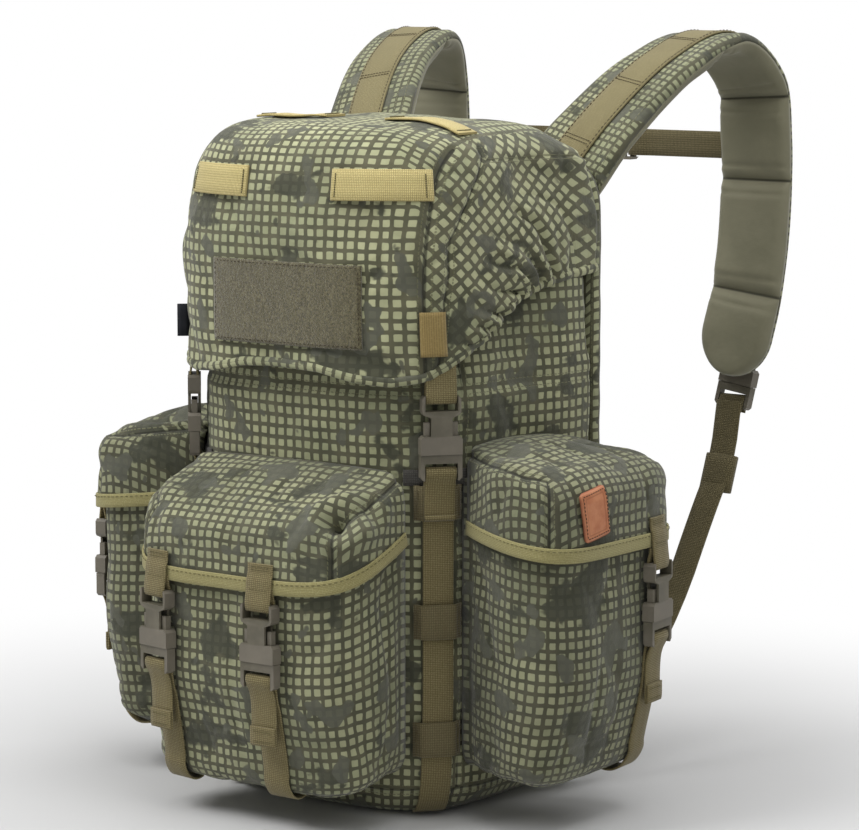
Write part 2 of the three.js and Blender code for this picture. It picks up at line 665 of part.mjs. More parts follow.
function makeLidStrap(side, name) {
  const { normal, surfacePoint, frame } = cornerFrame(side);
  const reach = bag.front / 2;
  const prism = (width, low, high) =>
    moved(block([-width / 2, -reach, low], [width / 2, reach, high]), frame);
  const strapNear = keeper.backing + gap * 2;
  const origin = surfacePoint.clone().addScaledVector(normal, lidLift).setZ(lidFastening);
  const buckleFrame = frameAt(origin, new THREE.Vector3(0, 0, 1), normal);
  addBuckle(`lid_${name}`, buckleFrame);

  const loopBack = (buckle.depth - buckle.barDepth) / 2 - loopClearance - webThick;
  const strapEnd = lidFastening + lowBarHeight - buckle.barHeight;
  const leg = block(
    [-webWidth / 2, -loopBack - webThick, -buckle.tail - webThick],
    [webWidth / 2, lidLift - strapNear, lowBarHeight - buckle.barHeight / 2 - loopClearance],
  );
  const strip = layer(bagForm, strapNear, strapNear + webThick,
    prism(webWidth, lidStrap.low, strapEnd));
  const strap = moved(barLoop(lowBarHeight).add(leg), buckleFrame)
    .subtract(bagForm(strapNear)).add(strip);
  addPart(`lid_strap_${name}`, shape(strap), webbing);

  const firstTop = keeperTops[0];
  const lastLow = keeperTops.at(-1) - keeper.height;
  let keepers = layer(bagForm, gap, gap + keeper.backing,
    prism(keeper.backingWidth, lastLow, firstTop));
  const loopNear = strapNear + webThick + gap;
  for (const top of keeperTops) {
    const low = top - keeper.height;
    const face = layer(bagForm, loopNear, loopNear + keeper.thick, prism(keeper.width, low, top));
    const base = layer(bagForm, gap, gap + keeper.backing, prism(keeper.width, low, top));
    const legs = prism(keeper.width, low, top)
      .subtract(prism(webWidth + gap * 2, low - overrun, top + overrun));
    const sides = bagForm(loopNear + keeper.thick).subtract(bagForm(gap)).intersect(legs);
    keepers = keepers.add(face).add(base).add(sides);
  }
  addPart(`lid_strap_keepers_${name}`, shape(keepers), darkWebbing);

  const tabHigh = hemHeight(surfacePoint.x, surfacePoint.y) + lidTabRise - lidFastening;
  const tabLeg = block(
    [-webWidth / 2, -loopBack - webThick * 2, barHeight + buckle.barHeight / 2 + loopClearance],
    [webWidth / 2, -loopBack + webThick / 2, tabHigh],
  );
  const lidShell = lidForm(gap, hemReach).subtract(lidForm(-lid.cloth - gap, overrun));
  const tab = moved(barLoop(barHeight).add(tabLeg), buckleFrame).subtract(lidShell);
  addPart(`lid_tab_${name}`, shape(mainBody(tab)), webbing);
}

// Harness: padded straps swept along a curve in space
function padCurve(side) {
  return new THREE.CatmullRomCurve3(padShares.map(([x, y, z]) => new THREE.Vector3(
    side * harness.spread * x, panelRear + harness.reach * y, seam + harness.rise * z,
  )));
}

// Frames along a curve: across lies level and out points away from the pack
function frameOn(curve, share) {
  const centre = curve.getPoint(share);
  const down = curve.getTangent(share);
  const across = new THREE.Vector3(1, 0, 0).addScaledVector(down, -down.x).normalize();
  const out = new THREE.Vector3().crossVectors(across, down);
  return { centre, down, across, out };
}

// Flat ribbon or pad swept along a curve; lift moves it outwards
function sweep(curve, from, to, steps, sides, power, halfWidth, halfThick, lift) {
  const rings = Array.from({ length: steps + 1 }, (_, i) => {
    const share = from + (to - from) * i / steps;
    const { centre, across, out } = frameOn(curve, share);
    return Array.from({ length: sides }, (_, j) => {
      const angle = (j + 0.5) / sides * 2 * Math.PI;
      return centre.clone()
        .addScaledVector(across, halfWidth(share) * bent(Math.cos(angle), power))
        .addScaledVector(out, lift + halfThick(share) * bent(Math.sin(angle), power));
    }).reverse();
  });
  return skin(rings);
}

const padWidth = (share) => {
  const taper = harness.widthTop + (harness.widthEnd - harness.widthTop) * Math.min(share / taperShare, 1);
  const end = THREE.MathUtils.clamp((share - padEndShares.from) / (1 - padEndShares.from), 0, 1);
  return taper / 2 * Math.sqrt(1 - (end * padEndShares.narrow) ** 2);
};

const padThickness = (grow) => (share) => {
  const pinch = Math.max(...channelShares.map((s) => Math.exp(-(((share - s) * channelSharpness) ** 2))));
  return harness.padThick / 2 * (1 - channelDepthShare * pinch) + grow;
};

const padForm = (curve, grow) => solid(sweep(curve, 0, 1, harness.sections, harness.sides,
  padPower, (s) => padWidth(s) + grow, padThickness(grow), 0));

const tapeLift = harness.padThick / 2 + harness.tapeGap + harness.tapeThick / 2;
const tapeEndShare = (harness.tapeSections + 1) / harness.sections;

const tapeForm = (curve, grow) => solid(sweep(curve, 1 / harness.sections, tapeEndShare,
  harness.tapeSections, ribbonSides, ribbonPower,
  () => harness.tape / 2 + grow, () => harness.tapeThick / 2 + grow, tapeLift));

function makeShoulder(side, name) {
  const curve = padCurve(side);
  addPart(`shoulder_strap_${name}`, shape(behindPanel(padForm(curve, 0))), padding);

  const end = frameOn(curve, 1);
  const buckleOut = tapeLift + harness.tapeThick / 2 + gap;
  const origin = end.centre.clone().addScaledVector(end.down, shoulderDrop)
    .addScaledVector(end.out, buckleOut);
  const frame = frameAt(origin, end.down.clone().negate(), end.out);
  addBuckle(`shoulder_${name}`, frame);

  const loopBack = (buckle.depth - buckle.barDepth) / 2 - loopClearance - webThick;
  const rise = curve.getLength() * (1 - tapeEndShare) * tapeLegShare + shoulderDrop;
  const leg = block(
    [-webWidth / 2, -loopBack - webThick, barHeight + buckle.barHeight / 2 + loopClearance],
    [webWidth / 2, buckleOut, rise],
  );
  const fitted = moved(barLoop(barHeight).add(leg), frame).subtract(padForm(curve, gap));
  const tape = behindPanel(tapeForm(curve, 0).add(fitted));
  addPart(`shoulder_tape_${name}`, shape(mainBody(tape)), webbing);
  return { frame, curve };
}

// Lower strap from the shoulder buckle to the bottom corner of the back panel
function makeLowerStrap(side, name, frame) {
  const start = new THREE.Vector3(0, -buckle.depth / 2, lowBarHeight - buckle.barHeight)
    .applyMatrix4(frame);
  const seat = new THREE.Vector3(side * anchor.across, panelRear + gap + webThick / 2, anchor.height);
  const points = [start];
  for (const [level, drop] of lowerSagShares) {
    const point = start.clone().lerp(seat, level);
    point.z = start.z + (seat.z - start.z) * drop;
    points.push(point);
  }
  points.push(seat.clone().setZ(seat.z + webWidth).setY(seat.y + webThick), seat);
  const curve = new THREE.CatmullRomCurve3(points);
  const ribbon = (grow) => solid(sweep(curve, 0, 1, harness.sections / 2, ribbonSides, ribbonPower,
    () => webWidth / 2 + grow, () => webThick / 2 + grow, 0));
  const link = block(
    [-webWidth / 2, -buckle.depth / 2 - webThick, lowBarHeight - buckle.barHeight - webThick],
    [webWidth / 2, -buckle.depth / 2 + webThick, lowBarHeight - buckle.barHeight / 2 - loopClearance],
  );
  const strap = behindPanel(ribbon(0).add(moved(barLoop(lowBarHeight).add(link), frame)));
  addPart(`lower_strap_${name}`, shape(strap), darkWebbing);

  const spot = frameOn(curve, lowerKeeper.share);
  const inner = gap + webThick / 2;
  const outer = inner + lowerKeeper.wall;
  const half = lowerKeeper.length / 2;
  const sleeve = block([-webWidth / 2 - outer, -outer, -half], [webWidth / 2 + outer, outer, half])
    .subtract(block(
      [-webWidth / 2 - gap, -inner, -half - overrun], [webWidth / 2 + gap, inner, half + overrun],
    ));
  const keeperFrame = frameAt(spot.centre, spot.down.clone().negate(), spot.out);
  const fitted = moved(sleeve, keeperFrame).subtract(ribbon(gap));
  addPart(`lower_strap_keeper_${name}`, shape(fitted), darkWebbing);
}

// Sternum strap between the far limbs of the harness
function makeSternum(curves) {
  const height = seam + sternum.rise;
  const atHeight = (curve) => {
    const samples = Array.from({ length: sternum.samples + 1 }, (_, i) => (
      frameOn(curve, THREE.MathUtils.lerp(...sternumShares, i / sternum.samples))));
    return samples.reduce((best, f) => (
      Math.abs(f.centre.z - height) < Math.abs(best.centre.z - height) ? f : best));
  };
  const right = atHeight(curves.right);
  const webNear = tapeLift + harness.tapeThick / 2 + gap;
  const y = right.centre.y + webNear + webThick - buckle.depth / 2;
  const out = new THREE.Vector3(0, 1, 0);
  const origin = new THREE.Vector3(sternum.junction, y, right.centre.z);
  const frame = frameAt(origin, new THREE.Vector3(1, 0, 0), out);
  addBuckle('sternum', frame);
  const far = right.centre.x + harness.tape / 2;
  const web = (from, to) => block(
    [from, y + buckle.depth / 2 - webThick, right.centre.z - sternum.webWidth / 2],
    [to, y + buckle.depth / 2 + webThick, right.centre.z + sternum.webWidth / 2],
  );
  const pads = [curves.left, curves.right].map((curve) => (
    padForm(curve, harness.tapeGap).add(tapeForm(curve, gap))));
  const foot = (side) => block(
    [Math.min(side * far, side * (far - harness.tape)), y + buckle.depth / 2 - webThick * 2,
      right.centre.z - sternum.webWidth / 2],
    [Math.max(side * far, side * (far - harness.tape)), y + buckle.depth / 2 + webThick,
      right.centre.z + sternum.webWidth / 2],
  );
  const fixedStart = sternum.junction + barHeight + buckle.barHeight / 2 + loopClearance;
  const fixed = moved(barLoop(barHeight, sternum.webWidth), frame)
    .add(web(fixedStart, far)).add(foot(1)).subtract(pads[1]);
  const slidingStart = sternum.junction + lowBarHeight - buckle.barHeight / 2 - loopClearance;
  const sliding = moved(barLoop(lowBarHeight, sternum.webWidth), frame)
    .add(web(-far, slidingStart)).add(foot(-1)).subtract(pads[0])
    .subtract(block(
      [sternum.junction - buckle.tail - gap, y + buckle.depth / 2 + buckle.barDepth / 2 - gap, 0],
      [sternum.junction + lowBarHeight - buckle.barHeight, y + buckle.depth * 2, bag.height * 2],
    ));
  addPart('sternum_strap_right', shape(mainBody(fixed)), darkWebbing);
  addPart('sternum_strap_left', shape(mainBody(sliding)), darkWebbing);
}

// Plain sewn-in label at the lid's right front seam
function makeLabel() {
  const { normal, surfacePoint } = cornerFrame(1);
  const frame = frameAt(surfacePoint.clone().setZ(lidTop - label.drop), new THREE.Vector3(0, 0, 1), normal);
  const prism = moved(block(
    [-label.halfWidth, -bag.front, 0], [label.halfWidth, bag.front / 2, label.height],
  ), frame);
  addPart('lid_label', shape(layer(lidForm, gap, gap + webThick, prism)), webbing);
}

makeBag();
makeBack();
makeHaulLoop();
makeLid();
makeLabel();
pockets.forEach(makePocket);
makePatch();
const curves = {};
for (const [side, name] of [[-1, 'left'], [1, 'right']]) {
  makeLidStrap(side, name);
  const { frame, curve } = makeShoulder(side, name);
  curves[name] = curve;
  makeLowerStrap(side, name, frame);
}
makeSternum(curves);

export default pack;
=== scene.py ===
import json
import math

import bmesh
import bpy
import numpy as np
from mathutils import Matrix, Vector

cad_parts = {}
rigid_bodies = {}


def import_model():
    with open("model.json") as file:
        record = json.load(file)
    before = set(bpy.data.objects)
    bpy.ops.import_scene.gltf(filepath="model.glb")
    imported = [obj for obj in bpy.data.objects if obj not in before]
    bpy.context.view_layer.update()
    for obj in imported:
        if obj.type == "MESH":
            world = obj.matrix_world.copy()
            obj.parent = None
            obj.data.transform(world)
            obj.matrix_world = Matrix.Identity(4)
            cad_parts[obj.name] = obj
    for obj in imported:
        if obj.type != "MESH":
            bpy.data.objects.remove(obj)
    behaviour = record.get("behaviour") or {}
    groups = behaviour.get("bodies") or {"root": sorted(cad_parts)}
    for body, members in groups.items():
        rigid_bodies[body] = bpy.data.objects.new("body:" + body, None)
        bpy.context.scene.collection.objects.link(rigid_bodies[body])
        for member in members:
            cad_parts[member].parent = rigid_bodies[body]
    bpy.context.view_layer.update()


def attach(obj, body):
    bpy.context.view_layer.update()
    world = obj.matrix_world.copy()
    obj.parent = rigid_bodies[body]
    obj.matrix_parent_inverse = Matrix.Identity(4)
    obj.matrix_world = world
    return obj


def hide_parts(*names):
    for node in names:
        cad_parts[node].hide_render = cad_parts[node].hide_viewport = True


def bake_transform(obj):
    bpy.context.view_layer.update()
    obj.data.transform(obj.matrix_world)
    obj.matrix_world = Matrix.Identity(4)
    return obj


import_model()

MM = 0.001
PI = math.pi

# Sizes of the pack in millimetres, as in the frame
BAG = dict(half=117, front=88, back=84.4, height=428, fp=3.0, bp=7.0)
# Height as a share, then the width, front and back at that height as shares of BAG's
BAG_SHARES = np.array([
    [0, 0.75, 0.7, 0.95], [0.012, 0.86, 0.83, 0.98], [0.045, 0.95, 0.93, 1], [0.2, 1, 1, 1],
    [0.68, 1, 1, 1], [0.86, 0.92, 0.93, 0.94], [0.95, 0.82, 0.82, 0.83], [1, 0.7, 0.66, 0.7]])
PANEL_FRONT, PANEL_REAR, PANEL_TOP, PANEL_LOW = 86.5, 97.5, 454.7, 2.0
PANEL_HALF, PANEL_CORNER = 129, 42
HAUL_HEIGHT = 425.0
LID = dict(half=122, front=105, top=478, hinge=455, floor=309, fp=3.2, bp=9.0)
POCKET_ROUND = 22
SIDE_POCKET = dict(half=79, depth=96, low=27, high=250, tilt=0.1, hem=190, low_tilt=0.05, swell=0.61, power=5,
                   seat=117.3, lean=15, straps=[40], fastening=139)
POCKETS = {
    "front": dict(half=98, depth=72, low=15, high=216, tilt=0.4, hem=166, low_tilt=0.2, swell=0.97, power=4.3,
                  turn=0, seat=88.3, lean=13, crown=6, straps=[-63, 29], fastening=119),
    "right": dict(SIDE_POCKET, turn=1, crown=8),
    "left": dict(SIDE_POCKET, turn=-1, crown=12),
}
WEB = 21.5
THICK = 1.6
# Heights of a buckle's two webbing bars above its middle
BAR_HIGH, BAR_LOW = 38.0, -12.0


# Noise and folds
rng = np.random.default_rng(7)
GRADS = rng.normal(size=(256, 3))
GRADS /= np.linalg.norm(GRADS, axis=1)[:, None]
PERM = rng.permutation(256)


def noise(p, size, seed=0, stretch=(1, 1, 1)):
    """Gradient noise from -1 to 1 at points in mm, with features of about the given size."""
    q = p / size / np.array(stretch) + seed * 17.31
    i = np.floor(q).astype(int)
    f = q - i
    w = f * f * f * (f * (f * 6 - 15) + 10)
    out = np.zeros(p.shape[:-1])
    for dx in (0, 1):
        for dy in (0, 1):
            for dz in (0, 1):
                h = PERM[(PERM[(i[..., 0] + dx) % 256] + i[..., 1] + dy) % 256]
                g = GRADS[PERM[(h + i[..., 2] + dz) % 256]]
                d = f - np.array([dx, dy, dz])
                k = (w[..., 0] if dx else 1 - w[..., 0]) * (w[..., 1] if dy else 1 - w[..., 1]) \
                    * (w[..., 2] if dz else 1 - w[..., 2])
                out += k * (g * d).sum(-1)
    return out * 1.6


def creases(p, size, seed=0, stretch=(1, 1, 1)):
    """Thin folds: 1 on a fold line, falling away quickly."""
    return np.clip(1 - np.abs(noise(p, size, seed, stretch)) * 3, 0, 1) ** 2


def smooth(lo, hi, v):
    """Soft step from 0 at lo to 1 at hi."""
    t = np.clip((v - lo) / (hi - lo), 0, 1)
    return t * t * (3 - 2 * t)


def bell(v, width):
    """1 at zero, falling away over the given width."""
    return np.exp(-(np.asarray(v, float) / width) ** 2)


def unit(v):
    """The same directions with length 1."""
    return v / np.maximum(np.linalg.norm(v, axis=-1, keepdims=True), 1e-9)


# Meshes
UP, BACK, RIGHT = np.array([0, 0, 1.0]), np.array([0, 1.0, 0]), np.array([1.0, 0, 0])


def distances(P):
    """Distance along a line of points, from 0 at the first one."""
    return np.concatenate([[0], np.cumsum(np.linalg.norm(np.diff(P, axis=0), axis=1))])


def points_at(t, s, P):
    """Points at distances t along a line P, whose own points are at distances s."""
    return np.stack([np.interp(t, s, P[:, k]) for k in range(3)], -1)


def bare(points, faces, name):
    """A mesh object from points in mm and faces."""
    mesh = bpy.data.meshes.new(name)
    mesh.from_pydata((np.asarray(points, float) * MM).tolist(), [], faces)
    obj = bpy.data.objects.new(name, mesh)
    bpy.context.scene.collection.objects.link(obj)
    return obj


def normals_of(P, wrap):
    """Normals of a grid of points."""
    if wrap:
        du = np.roll(P, -1, 1) - np.roll(P, 1, 1)
    else:
        du = np.gradient(P, axis=1)
    dv = np.gradient(P, axis=0)
    return unit(np.cross(du, dv))


def sheet_mesh(name, P, UV, wrap=False, seam=None, side=None, flip=False):
    """A surface from a grid of points, with a map in metres and the distance to the nearest seam."""
    R, C = P.shape[:2]
    cols = C if wrap else C - 1
    faces, corners = [], []
    for r in range(R - 1):
        for c in range(cols):
            n = (c + 1) % C
            quad = [(r, c, c), (r, n, c + 1), (r + 1, n, c + 1), (r + 1, c, c)]
            if flip:
                quad.reverse()
            faces.append([q[0] * C + q[1] for q in quad])
            corners.extend((q[0], q[2]) for q in quad)
    obj = bare(P.reshape(-1, 3), faces, name)
    mesh = obj.data
    corners = np.array(corners)
    layer = mesh.uv_layers.new(name="UVMap")
    layer.data.foreach_set("uv", (UV[corners[:, 0], corners[:, 1]] * MM).astype(np.float32).ravel())
    if side is not None:
        layer = mesh.uv_layers.new(name="UVSide")
        layer.data.foreach_set("uv", (side[corners[:, 0], corners[:, 1]] * MM).astype(np.float32).ravel())
    attr = mesh.attributes.new("seam", "FLOAT", "POINT")
    values = np.full(R * C, 50.0) if seam is None else np.asarray(seam, float).reshape(-1)
    attr.data.foreach_set("value", values.astype(np.float32))
    mesh.polygons.foreach_set("use_smooth", [True] * len(mesh.polygons))
    mesh.update()
    return obj


def arc_map(P):
    """Length along the rows of a grid, with one more column where it wraps."""
    Q = np.concatenate([P, P[:, :1]], 1)
    step = np.linalg.norm(np.diff(Q, axis=1), axis=-1)
    return np.concatenate([np.zeros((len(P), 1)), np.cumsum(step, 1)], 1)


def bent(v, p):
    """A sine or cosine bent towards a rounded square of power p."""
    return np.sign(v) * np.abs(v) ** (2 / p)


def oval(n, half, front, back, fp, bp):
    """Points spaced evenly along a rounded outline, from the middle of the back round by -X."""
    a = PI / 2 + np.linspace(0, 2 * PI, 1441)
    p = np.where(np.sin(a) < 0, fp, bp)
    x = half * bent(np.cos(a), p)
    y = np.where(np.sin(a) < 0, front, back) * bent(np.sin(a), p)
    s = np.concatenate([[0], np.cumsum(np.hypot(np.diff(x), np.diff(y)))])
    t = np.linspace(0, s[-1], n + 1)[:-1]
    return np.stack([np.interp(t, s, x), np.interp(t, s, y)], -1)


def solidify(obj, thick, offset=-1.0):
    """Gives a sheet its thickness in mm."""
    mod = obj.modifiers.new("thick", "SOLIDIFY")
    mod.thickness = thick * MM
    mod.offset = offset
    mod.use_even_offset = False


def chain(points, n):
    """Even resampling of a polyline."""
    points = np.asarray(points, float)
    s = distances(points)
    t = np.linspace(0, s[-1], n)
    return points_at(t, s, points)


def rounded_line(points, n, rounds):
    """A polyline with its corners cut, then resampled."""
    points = np.asarray(points, float)
    for _ in range(rounds):
        a = points[:-1] * 0.75 + points[1:] * 0.25
        b = points[:-1] * 0.25 + points[1:] * 0.75
        mid = np.empty((len(a) * 2, 3))
        mid[0::2], mid[1::2] = a, b
        points = np.concatenate([points[:1], mid, points[-1:]])
    return chain(points, n)


def ribbon(name, path, across, width, thick=THICK, n=None, wave=0.0, seed=1, rounds=2):
    """Flat webbing along a path. The path is the webbing's middle, and across its width direction."""
    path = np.asarray(path, float)
    total = np.linalg.norm(np.diff(path, axis=0), axis=1).sum()
    n = n or max(8, int(total / 2.5))
    if np.ndim(across) == 1:
        across = np.repeat([across], len(path), 0)
    t0 = distances(path)
    centre = rounded_line(path, n, rounds) if rounds else chain(path, n)
    t = np.linspace(0, t0[-1], n)
    A = unit(points_at(t, t0, np.asarray(across)))
    T = unit(np.gradient(centre, axis=0))
    A = unit(A - (A * T).sum(-1, keepdims=True) * T)
    N = np.cross(A, T)
    h, w = thick / 2, width / 2
    e = min(0.45, h)
    section = [(-w + e, -h), (-w / 3, -h), (w / 3, -h), (w - e, -h), (w, -h + e), (w, h - e),
               (w - e, h), (w / 3, h), (-w / 3, h), (-w + e, h), (-w, h - e), (-w, -h + e)]
    P = np.stack([centre + A * a + N * b for a, b in section], 1)
    if wave:
        P += N[:, None] * (noise(P, 26, seed) * wave)[..., None]
    s = distances(centre)
    u = np.array([a for a, _ in section] + [section[0][0]])
    UV = np.stack([np.repeat([u], n, 0), np.repeat(s[:, None], len(u), 1)], -1)
    obj = sheet_mesh(name, P, UV, wrap=True)
    close_ends(obj.data, len(section))
    return obj


def close_ends(mesh, count):
    """Closes both ends of a tube whose rings have the given number of points."""
    edit = bmesh.new()
    edit.from_mesh(mesh)
    edit.verts.ensure_lookup_table()
    points = list(edit.verts)
    edit.faces.new(points[:count][::-1])
    edit.faces.new(points[-count:])
    bmesh.ops.recalc_face_normals(edit, faces=edit.faces)
    edit.to_mesh(mesh)
    edit.free()
    for poly in mesh.polygons:
        poly.use_smooth = len(poly.vertices) == 4
    mesh.update()


def join(name, objs):
    """Several objects made into one piece."""
    bpy.ops.object.select_all(action="DESELECT")
    for o in objs:
        o.select_set(True)
    bpy.context.view_layer.objects.active = objs[0]
    bpy.ops.object.join()
    objs[0].name = objs[0].data.name = name
    return objs[0]


def stitches(name, line, normal, pitch=3.2, length=2.2, width=0.55):
    """A row of sewn stitches along a line, as small raised threads."""
    line = np.asarray(line, float)
    s = distances(line)
    normal = np.repeat([normal], len(line), 0) if np.ndim(normal) == 1 else np.asarray(normal)
    points, faces = [], []
    for start in np.arange(pitch * 0.3, s[-1] - length, pitch):
        t = start + length * np.array([0, 0.18, 0.5, 0.82, 1])
        c = points_at(t, s, line)
        m = unit(points_at(t, s, normal))
        d = unit(c[-1] - c[0])
        a = unit(np.cross(m, d))
        size = np.array([0.35, 0.85, 1, 0.85, 0.35])
        lift = np.array([-0.6, 0.4, 1, 0.4, -0.6]) * 0.25
        base = len(points)
        for k in range(5):
            r = width / 2 * size[k]
            for q in range(6):
                w = q / 6 * 2 * PI
                points.append(c[k] + a[k] * r * math.cos(w) + m[k] * (r * math.sin(w) + lift[k]))
        for k in range(4):
            for q in range(6):
                i, j = base + k * 6 + q, base + k * 6 + (q + 1) % 6
                faces.append([i, j, j + 6, i + 6])
        faces.append([base + q for q in range(6)][::-1])
        faces.append([base + 24 + q for q in range(6)])
    obj = bare(points, faces, name)
    obj.data.polygons.foreach_set("use_smooth", [True] * len(obj.data.polygons))
    return obj


# Materials
class Nodes:
    """Short calls for building a material's nodes."""

    def __init__(self, name):
        self.mat = bpy.data.materials.new(name)
        self.mat.use_nodes = True
        self.tree = self.mat.node_tree
        self.bsdf = self.tree.nodes["Principled BSDF"]

    def add(self, kind, props=None, **inputs):
        node = self.tree.nodes.new(kind)
        for key, value in (props or {}).items():
            setattr(node, key, value)
        for key, value in inputs.items():
            self.put(node, key.replace("_", " "), value)
        return node

    def put(self, node, key, value):
        socket = node.inputs[int(key)] if key.isdigit() else node.inputs[key]
        if isinstance(value, bpy.types.NodeSocket):
            self.tree.links.new(value, socket)
        elif isinstance(value, bpy.types.Node):
            self.tree.links.new(value.outputs[0], socket)
        else:
            socket.default_value = value

    def math(self, op, a, b=0.0, c=0.0):
        node = self.add("ShaderNodeMath", {"operation": op})
        for k, v in enumerate((a, b, c)):
            self.put(node, str(k), v)
        return node.outputs[0]

    def times(self, a, b):
        return self.math("MULTIPLY", a, b)

    def off(self, a, b):
        """Distance of one value from another."""
        return self.math("ABSOLUTE", self.math("SUBTRACT", a, b))

    def vector(self, op, *values):
        node = self.add("ShaderNodeVectorMath", {"operation": op})
        for k, v in enumerate(values):
            self.put(node, str(k), v)
        return node.outputs[0]

    def ramp(self, v, lo, hi, a=0.0, b=1.0):
        node = self.add("ShaderNodeMapRange", {"interpolation_type": "SMOOTHSTEP"})
        for k, x in enumerate((v, lo, hi, a, b)):
            self.put(node, str(k), x)
        return node.outputs[0]

    def mix(self, fac, a, b):
        node = self.add("ShaderNodeMix", {"data_type": "RGBA"})
        self.put(node, "0", fac)
        self.put(node, "6", a)
        self.put(node, "7", b)
        return node.outputs[2]

    def noise(self, vector, scale, detail=2.0, rough=0.5):
        values = dict(Vector=vector, Scale=scale, Detail=detail, Roughness=rough)
        return self.add("ShaderNodeTexNoise", None, **values).outputs[0]

    def uv(self, name="UVMap"):
        return self.add("ShaderNodeUVMap", {"uv_map": name}).outputs[0]

    def coords(self):
        return self.add("ShaderNodeTexCoord").outputs["Object"]

    def attr(self, name):
        return self.add("ShaderNodeAttribute", {"attribute_name": name}).outputs["Fac"]

    def split(self, vector):
        return self.add("ShaderNodeSeparateXYZ", None, Vector=vector).outputs

    def bump(self, height, strength, distance, normal=None):
        node = self.add("ShaderNodeBump", None, Height=height, Strength=strength, Distance=distance)
        if normal is not None:
            self.put(node, "Normal", normal)
        return node.outputs[0]

    def finish(self, color, rough, normal=None, sheen=0.0, spec=0.3):
        self.put(self.bsdf, "Base Color", color)
        self.put(self.bsdf, "Roughness", rough)
        self.bsdf.inputs["Specular IOR Level"].default_value = spec
        self.bsdf.inputs["Sheen Weight"].default_value = sheen
        self.bsdf.inputs["Sheen Roughness"].default_value = 0.5
        if normal is not None:
            self.put(self.bsdf, "Normal", normal)
        return self.mat


def rgb(r, g, b, painted_light_gain=1.0):
    """A colour given as it looks on screen, 0 to 255, made lighter or darker by a factor that paints light or
    shade into it.
    """
    def lin(c):
        c = c * painted_light_gain / 255
        return c / 12.92 if c <= 0.04045 else ((c + 0.055) / 1.055) ** 2.4
    return (lin(r), lin(g), lin(b), 1.0)


def camo_print(n, uv, pitch, painted_light_gain):
    """The cloth's print: small rounded squares on a dark ground with dark and grey blots. Most of its colours
    are scaled by one factor, which paints light or shade into the print.
    """
    warp = n.add("ShaderNodeTexNoise", None, Vector=uv, Scale=95.0, Detail=2.0).outputs[1]
    jittered = n.vector("MULTIPLY_ADD", warp, (0.0016, 0.0016, 0), uv)
    cells = n.vector("MULTIPLY", jittered, (1 / pitch, 1 / pitch, 1))
    dx, dy = [n.off(n.math("FRACT", v), 0.5) for v in n.split(cells)[:2]]
    far = n.math("POWER", n.math("ADD", n.math("POWER", dx, 8.0), n.math("POWER", dy, 8.0)), 0.125)
    cell = n.vector("FLOOR", cells)
    each = n.add("ShaderNodeTexWhiteNoise", {"noise_dimensions": "2D"}, Vector=cell).outputs[0]
    size = n.math("MULTIPLY_ADD", each, 0.04, 0.29)
    square = n.ramp(n.math("SUBTRACT", far, size), -0.02, 0.035, 1.0, 0.0)
    blot_far = n.noise(uv, 17.0, 3.5, 0.55)
    blot_near = n.noise(n.vector("MULTIPLY", uv, (1, 1.25, 1)), 34.0, 3.0, 0.55)
    dark = n.ramp(n.math("MULTIPLY_ADD", blot_near, 0.35, n.times(blot_far, 0.65)), 0.55, 0.575)
    grey = n.ramp(n.noise(n.vector("MULTIPLY", uv, (1, 0.8, 1)), 41.0, 2.0, 0.5), 0.6, 0.62)
    hide = n.math("MAXIMUM", dark, grey)
    square = n.times(square, n.math("SUBTRACT", 1.0, n.times(hide, 0.93)))
    broad = n.ramp(n.noise(uv, 12.0, 2.0), 0.4, 0.62)
    tint = n.mix(broad, rgb(166, 167, 132, painted_light_gain), rgb(147, 150, 118, painted_light_gain))
    tint = n.mix(n.times(each, 0.22), tint, rgb(110, 116, 84))
    wobble = n.noise(uv, 70.0, 1.0)
    ground = n.mix(n.ramp(wobble, 0.3, 0.7), rgb(76, 76, 58, painted_light_gain), rgb(90, 88, 68, painted_light_gain))
    ground = n.mix(n.times(dark, 0.75), ground, rgb(62, 64, 52))
    ground = n.mix(n.times(grey, 0.7), ground, rgb(92, 93, 82))
    return n.mix(square, ground, tint)


